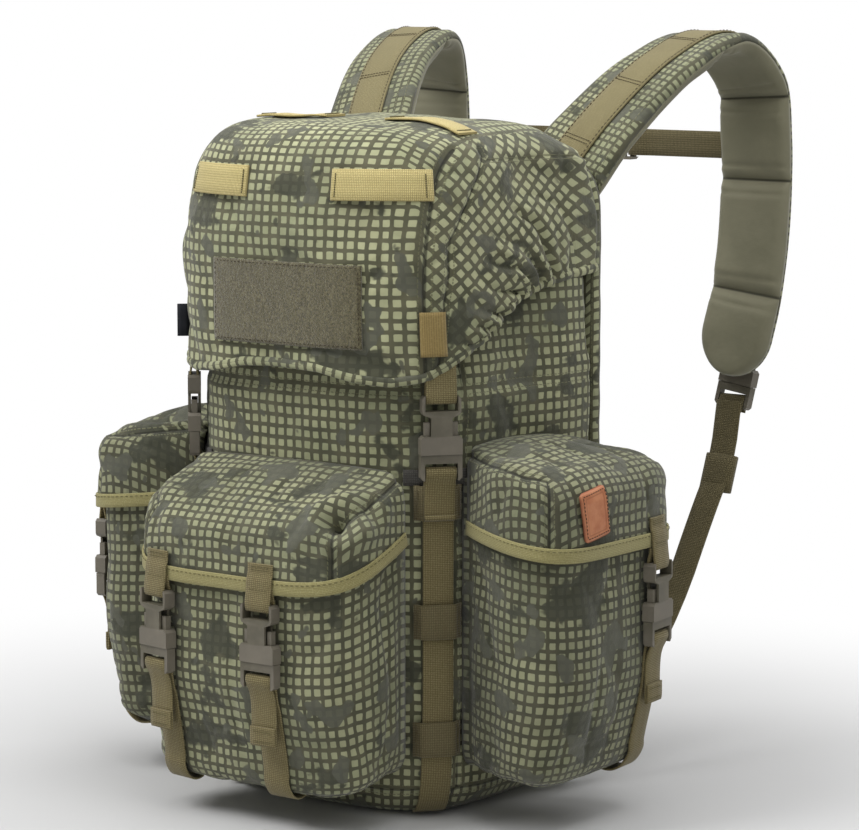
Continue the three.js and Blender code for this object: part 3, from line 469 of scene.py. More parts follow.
def camo(name, seed, with_side=False, pitch=0.0077, painted_light_gain=1.0):
    """Printed cloth with a fine weave, soft dirt, soft folds and a dark stitched line at each seam. Its print
    is painted lighter or darker by one factor, which stands in for light or shade on that part of the pack.
    """
    n = Nodes(name)
    where = n.coords()
    uv = n.uv()
    seam = n.attr("seam")
    if with_side:
        side = n.add("ShaderNodeMix", {"data_type": "VECTOR"})
        n.put(side, "0", n.math("GREATER_THAN", seam, 0.0))
        n.put(side, "4", uv)
        n.put(side, "5", n.uv("UVSide"))
        uv = side.outputs[1]
    uv = n.vector("ADD", uv, (seed * 0.31, seed * 0.17, 0))
    color = camo_print(n, uv, pitch, painted_light_gain)
    dirt = n.noise(where, 26.0, 5.0, 0.6)
    color = n.mix(n.ramp(dirt, 0.35, 0.75, 0.0, 0.22), color, rgb(58, 58, 44))
    near = n.math("ABSOLUTE", seam)
    line = n.ramp(near, 0.45, 1.3, 1.0, 0.0)
    color = n.mix(n.times(line, 0.75), color, rgb(38, 38, 30))
    along = n.math("FRACT", n.times(n.math("ADD", *n.split(uv)[:2]), 300.0))
    row = n.ramp(n.off(near, 3.2), 0.2, 0.55, 1.0, 0.0)
    thread = n.times(row, n.ramp(n.off(along, 0.5), 0.3, 0.36, 1.0, 0.0))
    color = n.mix(n.times(thread, 0.8), color, rgb(112, 112, 82))
    pick = 2 * PI / 0.0011
    wx, wy = n.split(n.vector("MULTIPLY", uv, (pick, pick, 1)))[:2]
    weave = n.times(n.math("SINE", wx), n.math("SINE", wy))
    normal = n.bump(n.noise(where, 75.0, 4.0, 0.55), 0.5, 0.0035)
    normal = n.bump(weave, 0.22, 0.0003, normal)
    normal = n.bump(n.math("SUBTRACT", thread, line), 0.6, 0.0009, normal)
    rough = n.ramp(n.noise(where, 40.0, 2.0), 0.3, 0.7, 0.72, 0.9)
    return n.finish(color, rough, normal, sheen=0.18)


def tape(name, *colors, rib=0.00125, worn=0.25):
    """Woven webbing: ribs across, a crossing weave and slightly worn ribs."""
    base, dark, light = [rgb(*c) for c in colors]
    n = Nodes(name)
    uv = n.uv()
    where = n.coords()
    u, v = n.split(uv)[:2]
    a = n.math("SINE", n.times(v, 2 * PI / rib))
    b = n.math("SINE", n.times(u, 2 * PI / (rib * 1.35)))
    weave = n.times(n.math("MULTIPLY_ADD", a, 0.5, 0.5), n.math("MULTIPLY_ADD", b, 0.35, 0.65))
    speck = n.noise(uv, 900.0, 2.0, 0.6)
    cloud = n.noise(where, 33.0, 4.0, 0.6)
    color = n.mix(n.ramp(weave, 0.1, 0.8), dark, base)
    color = n.mix(n.ramp(speck, 0.45, 0.8, 0.0, 0.4), color, light)
    color = n.mix(n.ramp(cloud, 0.42, 0.75, 0.0, worn), color, dark)
    normal = n.bump(weave, 0.55, 0.0005)
    normal = n.bump(cloud, 0.2, 0.0015, normal)
    return n.finish(color, 0.78, normal, sheen=0.15)


def moulded(name):
    """Moulded buckle plastic: fine spark finish, paler rubbed edges."""
    n = Nodes(name)
    where = n.coords()
    rub = n.noise(where, 60.0, 4.0, 0.6)
    color = n.mix(n.ramp(rub, 0.35, 0.7), rgb(90, 86, 72), rgb(106, 101, 86))
    bevel = n.add("ShaderNodeNewGeometry").outputs["Pointiness"]
    color = n.mix(n.ramp(bevel, 0.53, 0.62, 0.0, 0.35), color, rgb(140, 132, 122))
    normal = n.bump(n.noise(where, 2600.0, 2.0, 0.6), 0.25, 0.00012)
    return n.finish(color, n.ramp(rub, 0.3, 0.7, 0.42, 0.56), normal, spec=0.4)


def padding_cloth(name, base, dark):
    """Smooth lining cloth with a faint weave, soft creases and a slight sheen."""
    n = Nodes(name)
    where = n.coords()
    seam = n.attr("seam")
    cloud = n.noise(where, 18.0, 4.0, 0.6)
    color = n.mix(n.ramp(cloud, 0.35, 0.7, 0.0, 0.55), base, dark)
    color = n.mix(n.ramp(n.math("ABSOLUTE", seam), 0.5, 1.6, 0.75, 0.0), color, rgb(40, 40, 32))
    fine = n.noise(where, 1500.0, 2.0, 0.7)
    normal = n.bump(n.noise(where, 60.0, 5.0, 0.55), 0.3, 0.0022)
    normal = n.bump(fine, 0.22, 0.0003, normal)
    return n.finish(color, 0.66, normal, sheen=0.25)


def pile(name):
    """Loop pile: short fuzzy loops in mixed browns and greens."""
    n = Nodes(name)
    where = n.coords()
    fine = n.noise(where, 750.0, 4.0, 0.75)
    broad = n.noise(where, 120.0, 4.0, 0.65)
    color = n.mix(n.ramp(fine, 0.36, 0.66), rgb(72, 66, 46), rgb(126, 120, 88))
    color = n.mix(n.ramp(broad, 0.4, 0.68, 0.0, 0.5), color, rgb(90, 84, 58))
    normal = n.bump(fine, 1.0, 0.0012)
    normal = n.bump(broad, 0.5, 0.002, normal)
    return n.finish(color, 0.95, normal, sheen=0.5, spec=0.1)


def leather(name):
    """Tan leather with a fine grain, a dark edge and a pressed line."""
    n = Nodes(name)
    where = n.coords()
    grain = n.add("ShaderNodeTexVoronoi", {"feature": "DISTANCE_TO_EDGE"}, Vector=where, Scale=1100.0)
    cloud = n.noise(where, 90.0, 4.0, 0.6)
    seam = n.attr("seam")
    color = n.mix(n.ramp(cloud, 0.35, 0.7), rgb(196, 132, 94), rgb(178, 110, 74))
    color = n.mix(n.ramp(seam, 0.3, 1.4, 0.7, 0.0), color, rgb(120, 66, 40))
    press = n.ramp(n.off(seam, 4.6), 0.25, 0.6, 1.0, 0.0)
    color = n.mix(n.times(press, 0.45), color, rgb(140, 84, 54))
    normal = n.bump(grain, 0.3, 0.0002)
    normal = n.bump(press, -0.6, 0.0004, normal)
    return n.finish(color, 0.52, normal, spec=0.4)


def plain(name, color, rough):
    """One even colour with a fine grain, for thread and thin cloth."""
    n = Nodes(name)
    where = n.coords()
    fine = n.noise(where, 900.0, 3.0, 0.6)
    cloud = n.ramp(n.noise(where, 45.0, 3.0), 0.3, 0.7, 0.0, 0.25)
    shade = n.mix(cloud, color, tuple(c * 0.6 for c in color[:3]) + (1.0,))
    return n.finish(shade, rough, n.bump(fine, 0.4, 0.0002))


# Copies of one cloth with painted light: the factor makes the bag cloth (1.07) and the lid (1.13) lighter as
# painted light, and the side pockets (0.9) darker as painted shade.
CAMO = camo("camo_cloth", 1, painted_light_gain=1.07)
CAMO_LID = camo("camo_lid", 2, True, painted_light_gain=1.13)
CAMO_FRONT = camo("camo_front", 3, pitch=0.0073)
CAMO_RIGHT = camo("camo_right", 4, True, 0.0073, 0.9)
CAMO_LEFT = camo("camo_left", 5, True, 0.0073, 0.9)
CAMO_FLAP = camo("camo_flap", 6, True, pitch=0.0073)
CAMO_STRAP = camo("camo_strap", 7, pitch=0.0056)
TAN = tape("webbing_tan", (142, 131, 92), (98, 88, 56), (170, 158, 116))
LOOP = tape("webbing_loop", (218, 204, 142), (170, 154, 100), (236, 222, 170))
GOLD = tape("label_cloth", (172, 150, 94), (132, 112, 66), (192, 170, 118), rib=0.0007)
BROWN = tape("webbing_brown", (116, 106, 74), (82, 74, 48), (138, 128, 94))
GREY = tape("webbing_grey", (84, 82, 76), (62, 60, 56), (104, 102, 96))
KEEPER = tape("webbing_keeper", (124, 114, 82), (86, 78, 52), (146, 136, 102))
SHOULDER = tape("webbing_shoulder", (148, 138, 98), (110, 101, 68), (172, 161, 120), rib=0.0009)
BINDING = tape("binding_tape", (178, 171, 118), (136, 128, 82), (202, 196, 146), rib=0.0008, worn=0.15)
PLASTIC = moulded("buckle_plastic")
PAD = padding_cloth("pad_lining", rgb(130, 127, 104), rgb(108, 106, 84))
MESH = padding_cloth("back_lining", rgb(92, 94, 74), rgb(70, 72, 54))
PILE = pile("loop_pile")
LEATHER = leather("patch_leather")
THREAD = plain("sewing_thread", rgb(104, 98, 66), 0.7)
THREAD_DARK = plain("dark_thread", rgb(62, 50, 38), 0.7)
BLACK = plain("black_tab_cloth", rgb(30, 32, 38), 0.75)


def dress(obj, mat, slot, body, *nodes):
    """Gives a piece its material, attaches it to its body and hides the nodes it stands for. A body given as
    a tuple of two bodies and two points attaches it to neither; its place is only fixed. slot is not used.
    """
    obj.data.materials.clear()
    obj.data.materials.append(mat)
    if isinstance(body, tuple):
        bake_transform(obj)
    else:
        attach(obj, body)
    if nodes:
        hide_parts(*nodes)


# Main bag
def bag_shares(z):
    """The bag's width, front and back at one height, as shares of BAG's."""
    t = np.clip(np.asarray(z, float) / BAG["height"], 0, 1)
    return [np.interp(t, BAG_SHARES[:, 0], BAG_SHARES[:, k]) for k in (1, 2, 3)]


def bag_fold(P):
    """Outward swelling and folds of the bag's cloth, in mm."""
    z = P[..., 2]
    d = 1.6 * noise(P, 70, 3) + 0.9 * noise(P, 26, 4, (1, 1, 0.45))
    d -= 1.5 * creases(P, 44, 5, (1.6, 1.6, 0.5)) * smooth(250, 330, z)
    d -= 1.2 * creases(P, 60, 6, (1, 1, 1.3))
    d += 2.0 * bell(z - 300, 45)
    return d


def make_bag():
    """The main bag's cloth, with its gathered collar."""
    n = 260
    low = [(0.0, k) for k in (0.02, 0.3, 0.6, 0.85, 0.97)]
    zs = np.concatenate([np.linspace(1.2, 26, 9), np.linspace(29, 428, 128)])
    rows = []
    for z, k in low + [(z, 1.0) for z in zs]:
        w, f, b = bag_shares(max(z, 0.3))
        ring = oval(n, BAG["half"] * w * k, BAG["front"] * f * k, BAG["back"] * b * k, BAG["fp"], BAG["bp"])
        rows.append(np.column_stack([ring, np.full(n, z)]))
    P = np.array(rows)
    normal = normals_of(P, True)
    UV = np.stack([arc_map(np.repeat(P[60:61], len(P), 0)), np.repeat(P[:, :1, 2], n + 1, 1)], -1)
    z = P[..., 2]
    side = np.where(np.abs(P[..., 0]) > 90, np.abs(P[..., 1] + 44), 60)
    across = np.abs(z - 298)
    seam = np.minimum(np.minimum(side, across), np.abs(z - 20))
    keep = smooth(2, 14, z)
    move = bag_fold(P) * keep - 1.6 * bell(seam, 2.6) * keep
    P = P + normal * move[..., None]
    # The side cloth runs out to the edge of the back panel
    wide = np.abs(P[..., 0])
    reach = np.interp(z, [0, 14, 60, 400, 430], [84, 108, 129.3, 129.3, 112])
    flare = np.maximum(reach - wide, 0) * smooth(0, 62, P[..., 1]) * smooth(50, 100, wide)
    P[..., 0] += np.sign(P[..., 0]) * flare
    P[..., 1] = np.where(wide > 100, P[..., 1] * (1 + 0.03 * smooth(60, 80, P[..., 1])), P[..., 1])
    P[..., 1] = np.minimum(P[..., 1], PANEL_FRONT - 0.3)
    # The gathered collar closes the mouth under the lid
    last = P[-1]
    collar = []
    for k, lift in ((0.9, 4), (0.78, 6), (0.6, 5), (0.4, 1), (0.2, -4), (0.06, -8)):
        ring = last * np.array([k, k, 1]) + np.array([0, 0, lift])
        angle = np.arctan2(ring[:, 1], ring[:, 0])
        ring[:, 2] += 2.2 * np.sin(angle * 22 + 3 * np.sin(angle * 5)) * (1 - k) * 1.6
        collar.append(ring)
    P = np.concatenate([P, np.array(collar)])
    UV = np.concatenate([UV, UV[-1:] + np.arange(1, 7)[:, None, None] * np.array([0, 9.0])])
    seam = np.concatenate([seam, np.full((6, n), 40.0)])
    obj = sheet_mesh("bag_cloth", P, UV, wrap=True, seam=seam, flip=True)
    dress(obj, CAMO, "camo_cloth", "pack", "main_bag")


# Back of the pack
def panel_half(z):
    """Half width of the back panel at one height."""
    past = np.maximum(np.maximum(z - (PANEL_TOP - PANEL_CORNER), PANEL_LOW + PANEL_CORNER - z), 0)
    return PANEL_HALF - PANEL_CORNER + np.sqrt(PANEL_CORNER ** 2 - np.minimum(past, PANEL_CORNER) ** 2)


def make_back_pad(z, half):
    """Quilted padding against the wearer's back."""
    n = 90
    s = np.sin(np.linspace(-PI / 2, PI / 2, n))
    X = half[:, None] * s[None]
    Z = np.repeat(z[:, None], n, 1)
    edge = np.minimum(np.minimum(half[:, None] * (1 - np.abs(s))[None], Z - PANEL_LOW), PANEL_TOP - Z)
    edge = np.maximum(edge, 0)
    rim = np.sqrt(np.clip(1 - (1 - np.clip(edge / 5.5, 0, 1)) ** 2, 0, 1))
    channels = np.min([np.abs(Z - (PANEL_LOW + (PANEL_TOP - PANEL_LOW) * k)) for k in (0.3, 0.62)], 0)
    middle = np.abs(np.abs(X) - 34)
    low = (Z > 60) & (Z < 400)
    channel = np.minimum(channels, np.where(low, middle, 50))
    channel = np.where(np.abs(X) < 108, channel, 50)
    inside = np.stack([X, np.full_like(X, PANEL_REAR), Z], -1)
    puff = 1.9 * smooth(0, 16, channel) * smooth(4, 26, edge)
    rear = PANEL_REAR - 3.0 + puff + 0.5 * noise(inside, 22, 8) - 3.4 * bell(channel, 2.4)
    Y = PANEL_FRONT + 0.4 + (rear - PANEL_FRONT - 0.4) * rim
    P = np.stack([X, Y, Z], -1)
    seam = np.minimum(channel, np.abs(edge - 7))
    UV = np.stack([X, Z], -1)
    pad = sheet_mesh("back_pad", P[:, ::-1], UV[:, ::-1], seam=seam[:, ::-1])
    solidify(pad, 1.2)
    dress(pad, MESH, "padding", "pack", "back_panel", "frame_sheet")


def make_back_facing(z, half):
    """Camouflage facing that wraps the panel's edge and its front, up to the bag."""
    right = np.column_stack([half, z, 0 * z])
    outline = chain(np.concatenate([right, right[::-1] * [-1, 1, 1]]), 420)[:, :2]
    centre = np.array([0, (PANEL_TOP + PANEL_LOW) / 2])
    inward = unit(np.column_stack([-np.sign(outline[:, 0]) * np.minimum(np.abs(outline[:, 0]), 90),
                                   (centre[1] - outline[:, 1]) * 0.55]))
    front, back = PANEL_FRONT, PANEL_REAR
    border = []
    for y, inset in ((front - 0.2, 34), (front - 0.3, 12), (front - 0.4, 3), (front + 0.3, 0.4),
                     (front + 2.5, -0.4), (front + 5, -0.5), (front + 7.2, 0.1),
                     (back - 2.6, 1.4), (back - 1.9, 4), (back - 2.1, 7.5)):
        flat = outline + inward * inset
        border.append(np.column_stack([flat[:, 0], np.full(len(flat), y), flat[:, 1]]))
    P = np.array(border)
    P += normals_of(P, True) * (0.5 * noise(P, 17, 9))[..., None]
    across = np.array([-32, -12, -3, 0, 2.5, 5, 7.2, 9.5, 12, 15.5])
    UV = np.stack([arc_map(np.repeat(P[3:4], len(P), 0)), np.repeat(across[:, None], 421, 1)], -1)
    seam = np.repeat(np.abs(np.array([40, 14, 5, 1.4, 1.6, 3, 2, 0.6, 3, 6.0]))[:, None], 420, 1)
    facing = sheet_mesh("back_facing", P, UV, wrap=True, seam=seam)
    solidify(facing, 0.8)
    dress(facing, CAMO, "camo_cloth", "pack")


def make_back():
    """The back panel: its padding and its facing."""
    t = (1 - np.cos(PI * np.linspace(0, 1, 180))) / 2
    z = PANEL_LOW + (PANEL_TOP - PANEL_LOW) * (0.004 + 0.992 * t)
    half = panel_half(z)
    make_back_pad(z, half)
    make_back_facing(z, half)


def mirrored(right):
    """A path from left to right, given its right half from the middle outwards."""
    return [(-x, y, z) for x, y, z in right[::-1]] + right


def make_haul_loop():
    """Carrying loop at the top of the back, bowed outwards between two sewn ends."""
    z = HAUL_HEIGHT
    path = mirrored([(8, 119, z), (20, 117, z), (25, 111, z), (25, 104, z), (26, 98.8, z), (40, 98.6, z)])
    loop = ribbon("haul_webbing", path, UP, WEB, rounds=3)
    foot = ribbon("haul_foot", [(-42, 97.9, z), (42, 97.9, z)], UP, WEB, 1.2)
    rows = []
    for x in (-38, -30, 30, 38):
        rows.append(stitches("row", [(x, 99.7, z - 10), (x, 99.7, z + 10)], BACK))
    dress(join("haul_webbing", [loop, foot]), TAN, "webbing", "pack", "haul_loop")
    dress(join("haul_stitching", rows), THREAD, "webbing", "pack")


# Pockets
def pocket_ring(pk, a, grow, roll, height, tilt):
    """A pocket's outline at one height. roll turns it inwards over the rounded edge."""
    reach = POCKET_ROUND * (np.cos(roll) - 1) + grow * np.cos(roll)
    x = (pk["half"] + reach) * bent(np.cos(a), pk["power"])
    y = (pk["depth"] + reach) * bent(np.sin(a), pk["power"])
    out = np.clip(-y / pk["depth"], 0, 1)
    x = x * (pk["swell"] + (1 - pk["swell"]) * (1 - (1 - out) ** 2))
    return np.stack([x, y, height + tilt * (y + pk["depth"])], -1)


def pocket_angles(pk, n):
    """Angles spaced evenly along a pocket's outline, and the distances from its middle."""
    a = np.linspace(PI, 2 * PI, 1201)
    ring = pocket_ring(pk, a, 0, 0, 0, 0)
    s = distances(ring)
    t = np.linspace(0, s[-1], n)
    return np.interp(t, s, a), t - s[-1] / 2


def away(v, pk):
    """A direction in a pocket's own axes, whose -Y faces outwards, turned to the pack's."""
    v = np.asarray(v, float)
    turn = pk["turn"]
    return np.stack([-v[..., 1] * turn, v[..., 0] * turn, v[..., 2]], -1) if turn else v


def place(P, pk):
    """Points in a pocket's own axes, moved to the pack's."""
    return away(np.asarray(P, float) - [0, pk["seat"], 0], pk)


def outwards(P, pk):
    """Normals of a pocket's surface, all turned away from its middle."""
    n = normals_of(P, False)
    middle = np.array([0, -pk["depth"] * 0.4, (pk["low"] + pk["high"]) / 2])
    return n * np.sign((n * (P - middle)).sum(-1, keepdims=True) + 1e-9)


def lean_in(P, pk):
    """How far a pocket's wall leans back towards the bag near its base."""
    return pk["lean"] * smooth(112, 24, P[..., 2]) * np.clip(-P[..., 1] / pk["depth"], 0, 1)


def free_of_straps(P, pk):
    """0 where a strap holds a pocket's cloth flat, 1 elsewhere."""
    calm = np.ones(P.shape[:-1])
    for x in pk["straps"]:
        calm *= 1 - bell(P[..., 0] - x, 19) * smooth(-0.3, -0.7, P[..., 1] / pk["depth"])
    return calm


def pocket_fold(P, pk, seed):
    """How far a pocket's cloth stands out, with sagging folds and a fuller belly."""
    z = P[..., 2]
    d = 1.9 * noise(P, 46, seed, (1, 1, 1.8)) + 0.9 * noise(P, 20, seed + 1, (1, 1, 1.6))
    d -= 2.4 * creases(P, 52, seed + 2, (0.7, 0.7, 1.9)) * smooth(30, 60, z)
    d -= 1.6 * creases(P, 30, seed + 3, (1.5, 1.5, 0.6)) * smooth(110, 60, z)
    d += 2.2 * bell(z - 95, 55)
    return d * free_of_straps(P, pk) - 0.3


def flap_fold(P, pk, seed):
    """How far a flap's cloth stands out, calm along its hem."""
    out = -P[..., 1] / pk["depth"]
    hem = P[..., 2] - pk["tilt"] * (P[..., 1] + pk["depth"]) - pk["hem"]
    d = 1.7 * noise(P, 40, seed) + 0.9 * noise(P, 17, seed + 1)
    d -= 2.0 * creases(P, 42, seed + 2) * smooth(0.1, 0.4, out)
    return d * smooth(6, 34, hem)


def make_pocket(name, pk, mat, seed):
    """A pocket's cloth, from the middle of its base up to its rim."""
    a, s = pocket_angles(pk, 170)
    grow = -4.4

    def low_z(roll):
        return pk["low"] + POCKET_ROUND - (POCKET_ROUND + grow) * math.sin(roll)

    rows, arcs = [], []
    base = pocket_ring(pk, a, grow, PI / 2, low_z(PI / 2), pk["low_tilt"])
    for k in (0.03, 0.35, 0.65, 0.88):
        ring = base.copy()
        ring[:, :2] *= k
        ring[:, 2] = low_z(PI / 2) + pk["low_tilt"] * (ring[:, 1] + pk["depth"]) - 1.5 * (1 - k * k)
        rows.append(ring)
        arcs.append(low_z(PI / 2) - 34 - (1 - k) * pk["depth"])
    for roll in np.linspace(PI / 2, 0, 13):
        rows.append(pocket_ring(pk, a, grow, roll, low_z(roll), pk["low_tilt"]))
        arcs.append(low_z(0) - roll * POCKET_ROUND)
    top = pk["high"] - POCKET_ROUND
    for t in np.linspace(0, 1, 74)[1:]:
        z = low_z(0) + (top - low_z(0)) * t
        tilt = pk["low_tilt"] + (pk["tilt"] - pk["low_tilt"]) * t
        rows.append(pocket_ring(pk, a, grow, 0, z, tilt))
        arcs.append(z)
    P = np.array(rows)
    tuck = P[:, [0, -1]] + np.array([0, 6, 0])
    normal = outwards(P, pk)
    move = pocket_fold(P, pk, seed) * smooth(0, 14, pk["depth"] * 1.02 + P[..., 1] + 40)
    move *= smooth(0.0, 0.16, -P[..., 1] / pk["depth"])
    bottom = np.abs(P[..., 2] - pk["low_tilt"] * (P[..., 1] + pk["depth"]) - pk["low"] - 7)
    seam = np.minimum(bottom, 50.0)
    move = move - 1.0 * bell(bottom, 2.2)
    P = P + normal * move[..., None]
    P[..., 1] += lean_in(P, pk)
    P = np.concatenate([tuck[:, :1], P, tuck[:, 1:]], 1)
    s = np.concatenate([[s[0] - 6], s, [s[-1] + 6]])
    seam = np.concatenate([seam[:, :1], seam, seam[:, -1:]], 1)
    UV = np.stack([np.repeat(s[None], len(P), 0), np.repeat(np.array(arcs)[:, None], len(s), 1)], -1)
    obj = sheet_mesh(f"{name}_pocket_cloth", place(P, pk), UV, seam=-seam - 1e-3)
    solidify(obj, 1.4)
    dress(obj, mat, "camo_cloth", "pack", f"{name}_pocket")


def flap_surface(pk, a):
    """Rows of a closed flap from its hem over the edge to the middle of its rear edge."""
    rows = []
    top = pk["high"] - POCKET_ROUND
    for z in np.linspace(pk["hem"], top, 18):
        rows.append(pocket_ring(pk, a, 0, 0, z, pk["tilt"]))
    for roll in np.linspace(0, PI / 2, 15)[1:]:
        rows.append(pocket_ring(pk, a, 0, roll, top + POCKET_ROUND * math.sin(roll), pk["tilt"]))
    last = rows[-1]
    for k in np.linspace(1, 0.02, 34)[1:]:
        ring = last.copy()
        ring[:, :2] *= k
        ring[:, 2] = top + POCKET_ROUND + pk["tilt"] * (ring[:, 1] + pk["depth"]) \
            + pk["crown"] * (1 - k ** 2) * smooth(0, 0.5, -ring[:, 1] / pk["depth"] + 0.15)
        rows.append(ring)
    return np.array(rows)


def flap_seam(P, s, corner_at):
    """Distance to the flap's seams, and which of the cloth lies on its turned down sides."""
    up = distances(P[:, 3])
    below = up[24] - np.repeat(up[:, None], len(s), 1)
    around = np.repeat((np.abs(s) - corner_at)[None], len(P), 0)
    seam = np.where(below > 0, np.abs(around), 50)
    seam = np.where(around > 0, np.minimum(seam, np.abs(below)), seam)
    return seam, (around > 0) & (below > 0)


def make_flap(name, pk, body, mat, seed, dents):
    """A pocket's flap. Each dent has its place, its depth and its width."""
    a, s = pocket_angles(pk, 190)
    P = flap_surface(pk, a)
    normal = outwards(P, pk)
    corner_at = s[-1] - pk["depth"] * 0.93
    seam, beyond = flap_seam(P, s, corner_at)
    move = flap_fold(P, pk, seed) * smooth(0.0, 0.12, -P[..., 1] / pk["depth"])
    move = move - 1.5 * bell(seam, 2.2) + 0.9 * bell(seam - 5.5, 4)
    for x, y, z, deep, wide in dents:
        far = np.linalg.norm(P - np.array([x, y, z]), axis=-1)
        move = move - deep * bell(far, wide) + deep * 0.35 * bell(far - wide * 1.9, wide * 0.7)
    P = P + normal * move[..., None]
    inner = P[..., 1] + pk["depth"]
    v = P[..., 2] - pk["tilt"] * inner + inner * math.hypot(1, pk["tilt"])
    main = np.stack([P[..., 0], v], -1)
    past = (np.abs(s[None]) > corner_at) * 0.9 * np.maximum(pk["half"] - np.abs(P[..., 0]), 0)
    side = np.stack([np.repeat(s[None], len(P), 0), P[..., 2] + past], -1)
    seam = np.where(beyond, seam + 1e-3, -seam - 1e-3)
    obj = sheet_mesh(f"{name}_flap_cloth", place(P, pk), main, seam=seam, side=side)
    solidify(obj, 1.4)
    dress(obj, mat, "camo_cloth", body, f"{name}_flap")
    make_flap_trim(name, pk, a, body, seed)


def make_flap_trim(name, pk, a, body, seed):
    """Binding along the flap's hem, with one row of stitches."""
    hem = pocket_ring(pk, a, 1.15, 0, pk["hem"] + 5, pk["tilt"])
    hem = hem + unit(hem * np.array([1, 1, 0])) * (0.4 * noise(hem, 24, seed + 5))[:, None]
    up = np.repeat([UP], len(hem), 0)
    band = ribbon(f"{name}_binding", place(hem, pk), away(up, pk), 10, 1.5, n=240, rounds=0)
    dress(band, BINDING, "webbing", body, f"{name}_flap_trim")
    line = pocket_ring(pk, a, 2.0, 0, pk["hem"] + 8.0, pk["tilt"])
    outward = unit(normals_of(np.stack([line, line + [0, 0, 1]]), False)[0])
    outward *= np.sign((outward * line * [1, 1, 0]).sum(-1, keepdims=True) + 1e-9)
    row = stitches(f"{name}_hem_stitching", place(line, pk), away(outward, pk), pitch=4.0, length=2.6)
    dress(row, THREAD, "webbing", body)


# Webbing on the pockets
def frame_at(origin, up, out):
    """A buckle's frame: its origin, and its directions across, inwards and up."""
    z = unit(np.asarray(up, float))
    out = np.asarray(out, float)
    y = unit(-(out - z * (out @ z)))
    return np.asarray(origin, float), np.cross(y, z), y, z


def raised(points, z):
    """Points given as (outwards, up), moved up by z."""
    return [(o, z + up) for o, up in points]


def in_frame(f, points):
    """Points given as (outwards, up) or (across, outwards, up) in a buckle's frame."""
    origin, x, y, z = f
    points = [(0, *p) if len(p) == 2 else p for p in points]
    return np.array([origin + x * p[0] - y * p[1] + z * p[2] for p in points])


def squared(share):
    """How far out a pocket's wall stands at a share of its half width."""
    return (1 - share ** 5) ** 0.2


def wall_at(pk, across):
    """How far out a pocket's wall stands at one place across, and the way it faces there."""
    depth, half = pk["depth"] - 4.6, pk["half"] - 4.6
    share = abs(across) / half
    out = depth * squared(share)
    slope = depth / half * share ** 4 * (1 - share ** 5) ** -0.8
    return out, math.copysign(math.atan(slope), across)


TAB = [(3.5, 0), (3.6, -7), (5.4, -11), (5.6, -17)]
BAR_LOOP = [(6.6, 6.0), (7.3, 1.5), (6.6, -2.6), (4.5, -3.3), (2.4, -2.6), (1.7, 0), (2.0, 4.0), (3.4, 9.0),
            (3.7, 12.5)]
LOW_LOOP = [(3.2, -8), (6.6, -2.8), (7.2, 0), (6.3, 2.7), (4.5, 3.3), (2.7, 2.7), (1.7, 0)]


def tab_rows(f, top, low, o):
    """Two rows of stitches across a strap, at two heights."""
    ends = [in_frame(f, [(-8.4, o, z), (8.4, o, z)]) for z in (top, low)]
    return [stitches("row", line, -f[2], pitch=2.6, length=1.9) for line in ends]


def strap_line(pk, across):
    """A strap's line down a pocket's wall and under the pocket, in the pocket's own axes."""
    grow = -3.4
    under = grow + 1.2
    out = (pk["depth"] + grow) * squared(abs(across) / (pk["half"] + grow))
    line = [(across, -out, z) for z in np.linspace(pk["fastening"] - 34, pk["low"] + POCKET_ROUND + 2, 12)]
    for roll in np.linspace(0.12, PI / 2, 9):
        r = POCKET_ROUND * (math.cos(roll) - 1)
        y = -(pk["depth"] + r + under * math.cos(roll)) * squared(abs(across) / (pk["half"] + r))
        z = pk["low"] + POCKET_ROUND - (POCKET_ROUND + under) * math.sin(roll)
        line.append((across, y, z + pk["low_tilt"] * (y + pk["depth"])))
    line.append((across, -pk["depth"] * 0.62, pk["low"] + 3.2 + pk["low_tilt"] * pk["depth"] * 0.38))
    line = np.array(line)
    line[:, 1] += lean_in(line, pk)
    return line


def make_pocket_straps(name, pk, flap_body):
    """Straps of one pocket, from the tab on its flap to the underside of the pocket."""
    for i, across in enumerate(pk["straps"]):
        label = f"{name}_pocket" + (f"_{i + 1}" if len(pk["straps"]) > 1 else "")
        out, angle = wall_at(pk, across)
        normal = np.array([math.sin(angle), -math.cos(angle), 0])
        local = np.array([across, -out, pk["fastening"]]) + normal * 2.2
        f = frame_at(place(local, pk), UP, away(normal, pk))
        rise = pk["hem"] + 20 - pk["fastening"]
        path = raised(TAB, rise) + raised(BAR_LOOP, BAR_HIGH)
        tab = ribbon(f"{label}_tab", in_frame(f, path), f[1], WEB, n=70)
        dress(tab, TAN, "webbing", flap_body)
        rows = tab_rows(f, rise - 2.2, rise - 4.4, o=4.4) + tab_rows(f, rise - 17.5, rise - 19.5, o=6.5)
        dress(join(f"{label}_tab_stitching", rows), THREAD, "webbing", flap_body)
        # Strap: folded tail, round the bar, then down the wall
        tail = [(2.3, -45), (2.4, -57.5), (0.9, -58.2), (0.6, -57), (0.6, -30)]
        path = tail + raised(LOW_LOOP, BAR_LOW) + [(0.0, -20), (-1.0, -27)]
        line = np.concatenate([in_frame(f, path), place(strap_line(pk, across), pk)])
        strap = ribbon(f"{label}_webbing", line, f[1], WEB, n=150)
        hold = ("pack", f"{label}_male", f[0] - [0, 0, pk["fastening"] - pk["low"] - 16], f[0] - [0, 0, 20])
        dress(strap, TAN, "webbing", hold, f"{label}_strap")
        rows = tab_rows(f, -48, -55, o=3.35)
        dress(join(f"{label}_end_stitching", rows), THREAD, "webbing", hold)


# Lid
LID_PROFILE = [(478.6, 0.0), (478, 0.5), (475.5, 0.76), (466.2, 0.9), (451, 0.965), (424, 1.0), (385, 1.012),
               (343, 1.01), (309, 1.0), (296, 0.998)]
HEM_FRONT = ([0, 20, 36, 47, 58, 72, 90], [0.32, 0.12, -0.01, -0.035, -0.02, 0.02, 0.03])
HEM_BACK = ([0, 22, 37, 46, 90], [0.32, 0.4, 0.44, 0.985, 0.985])


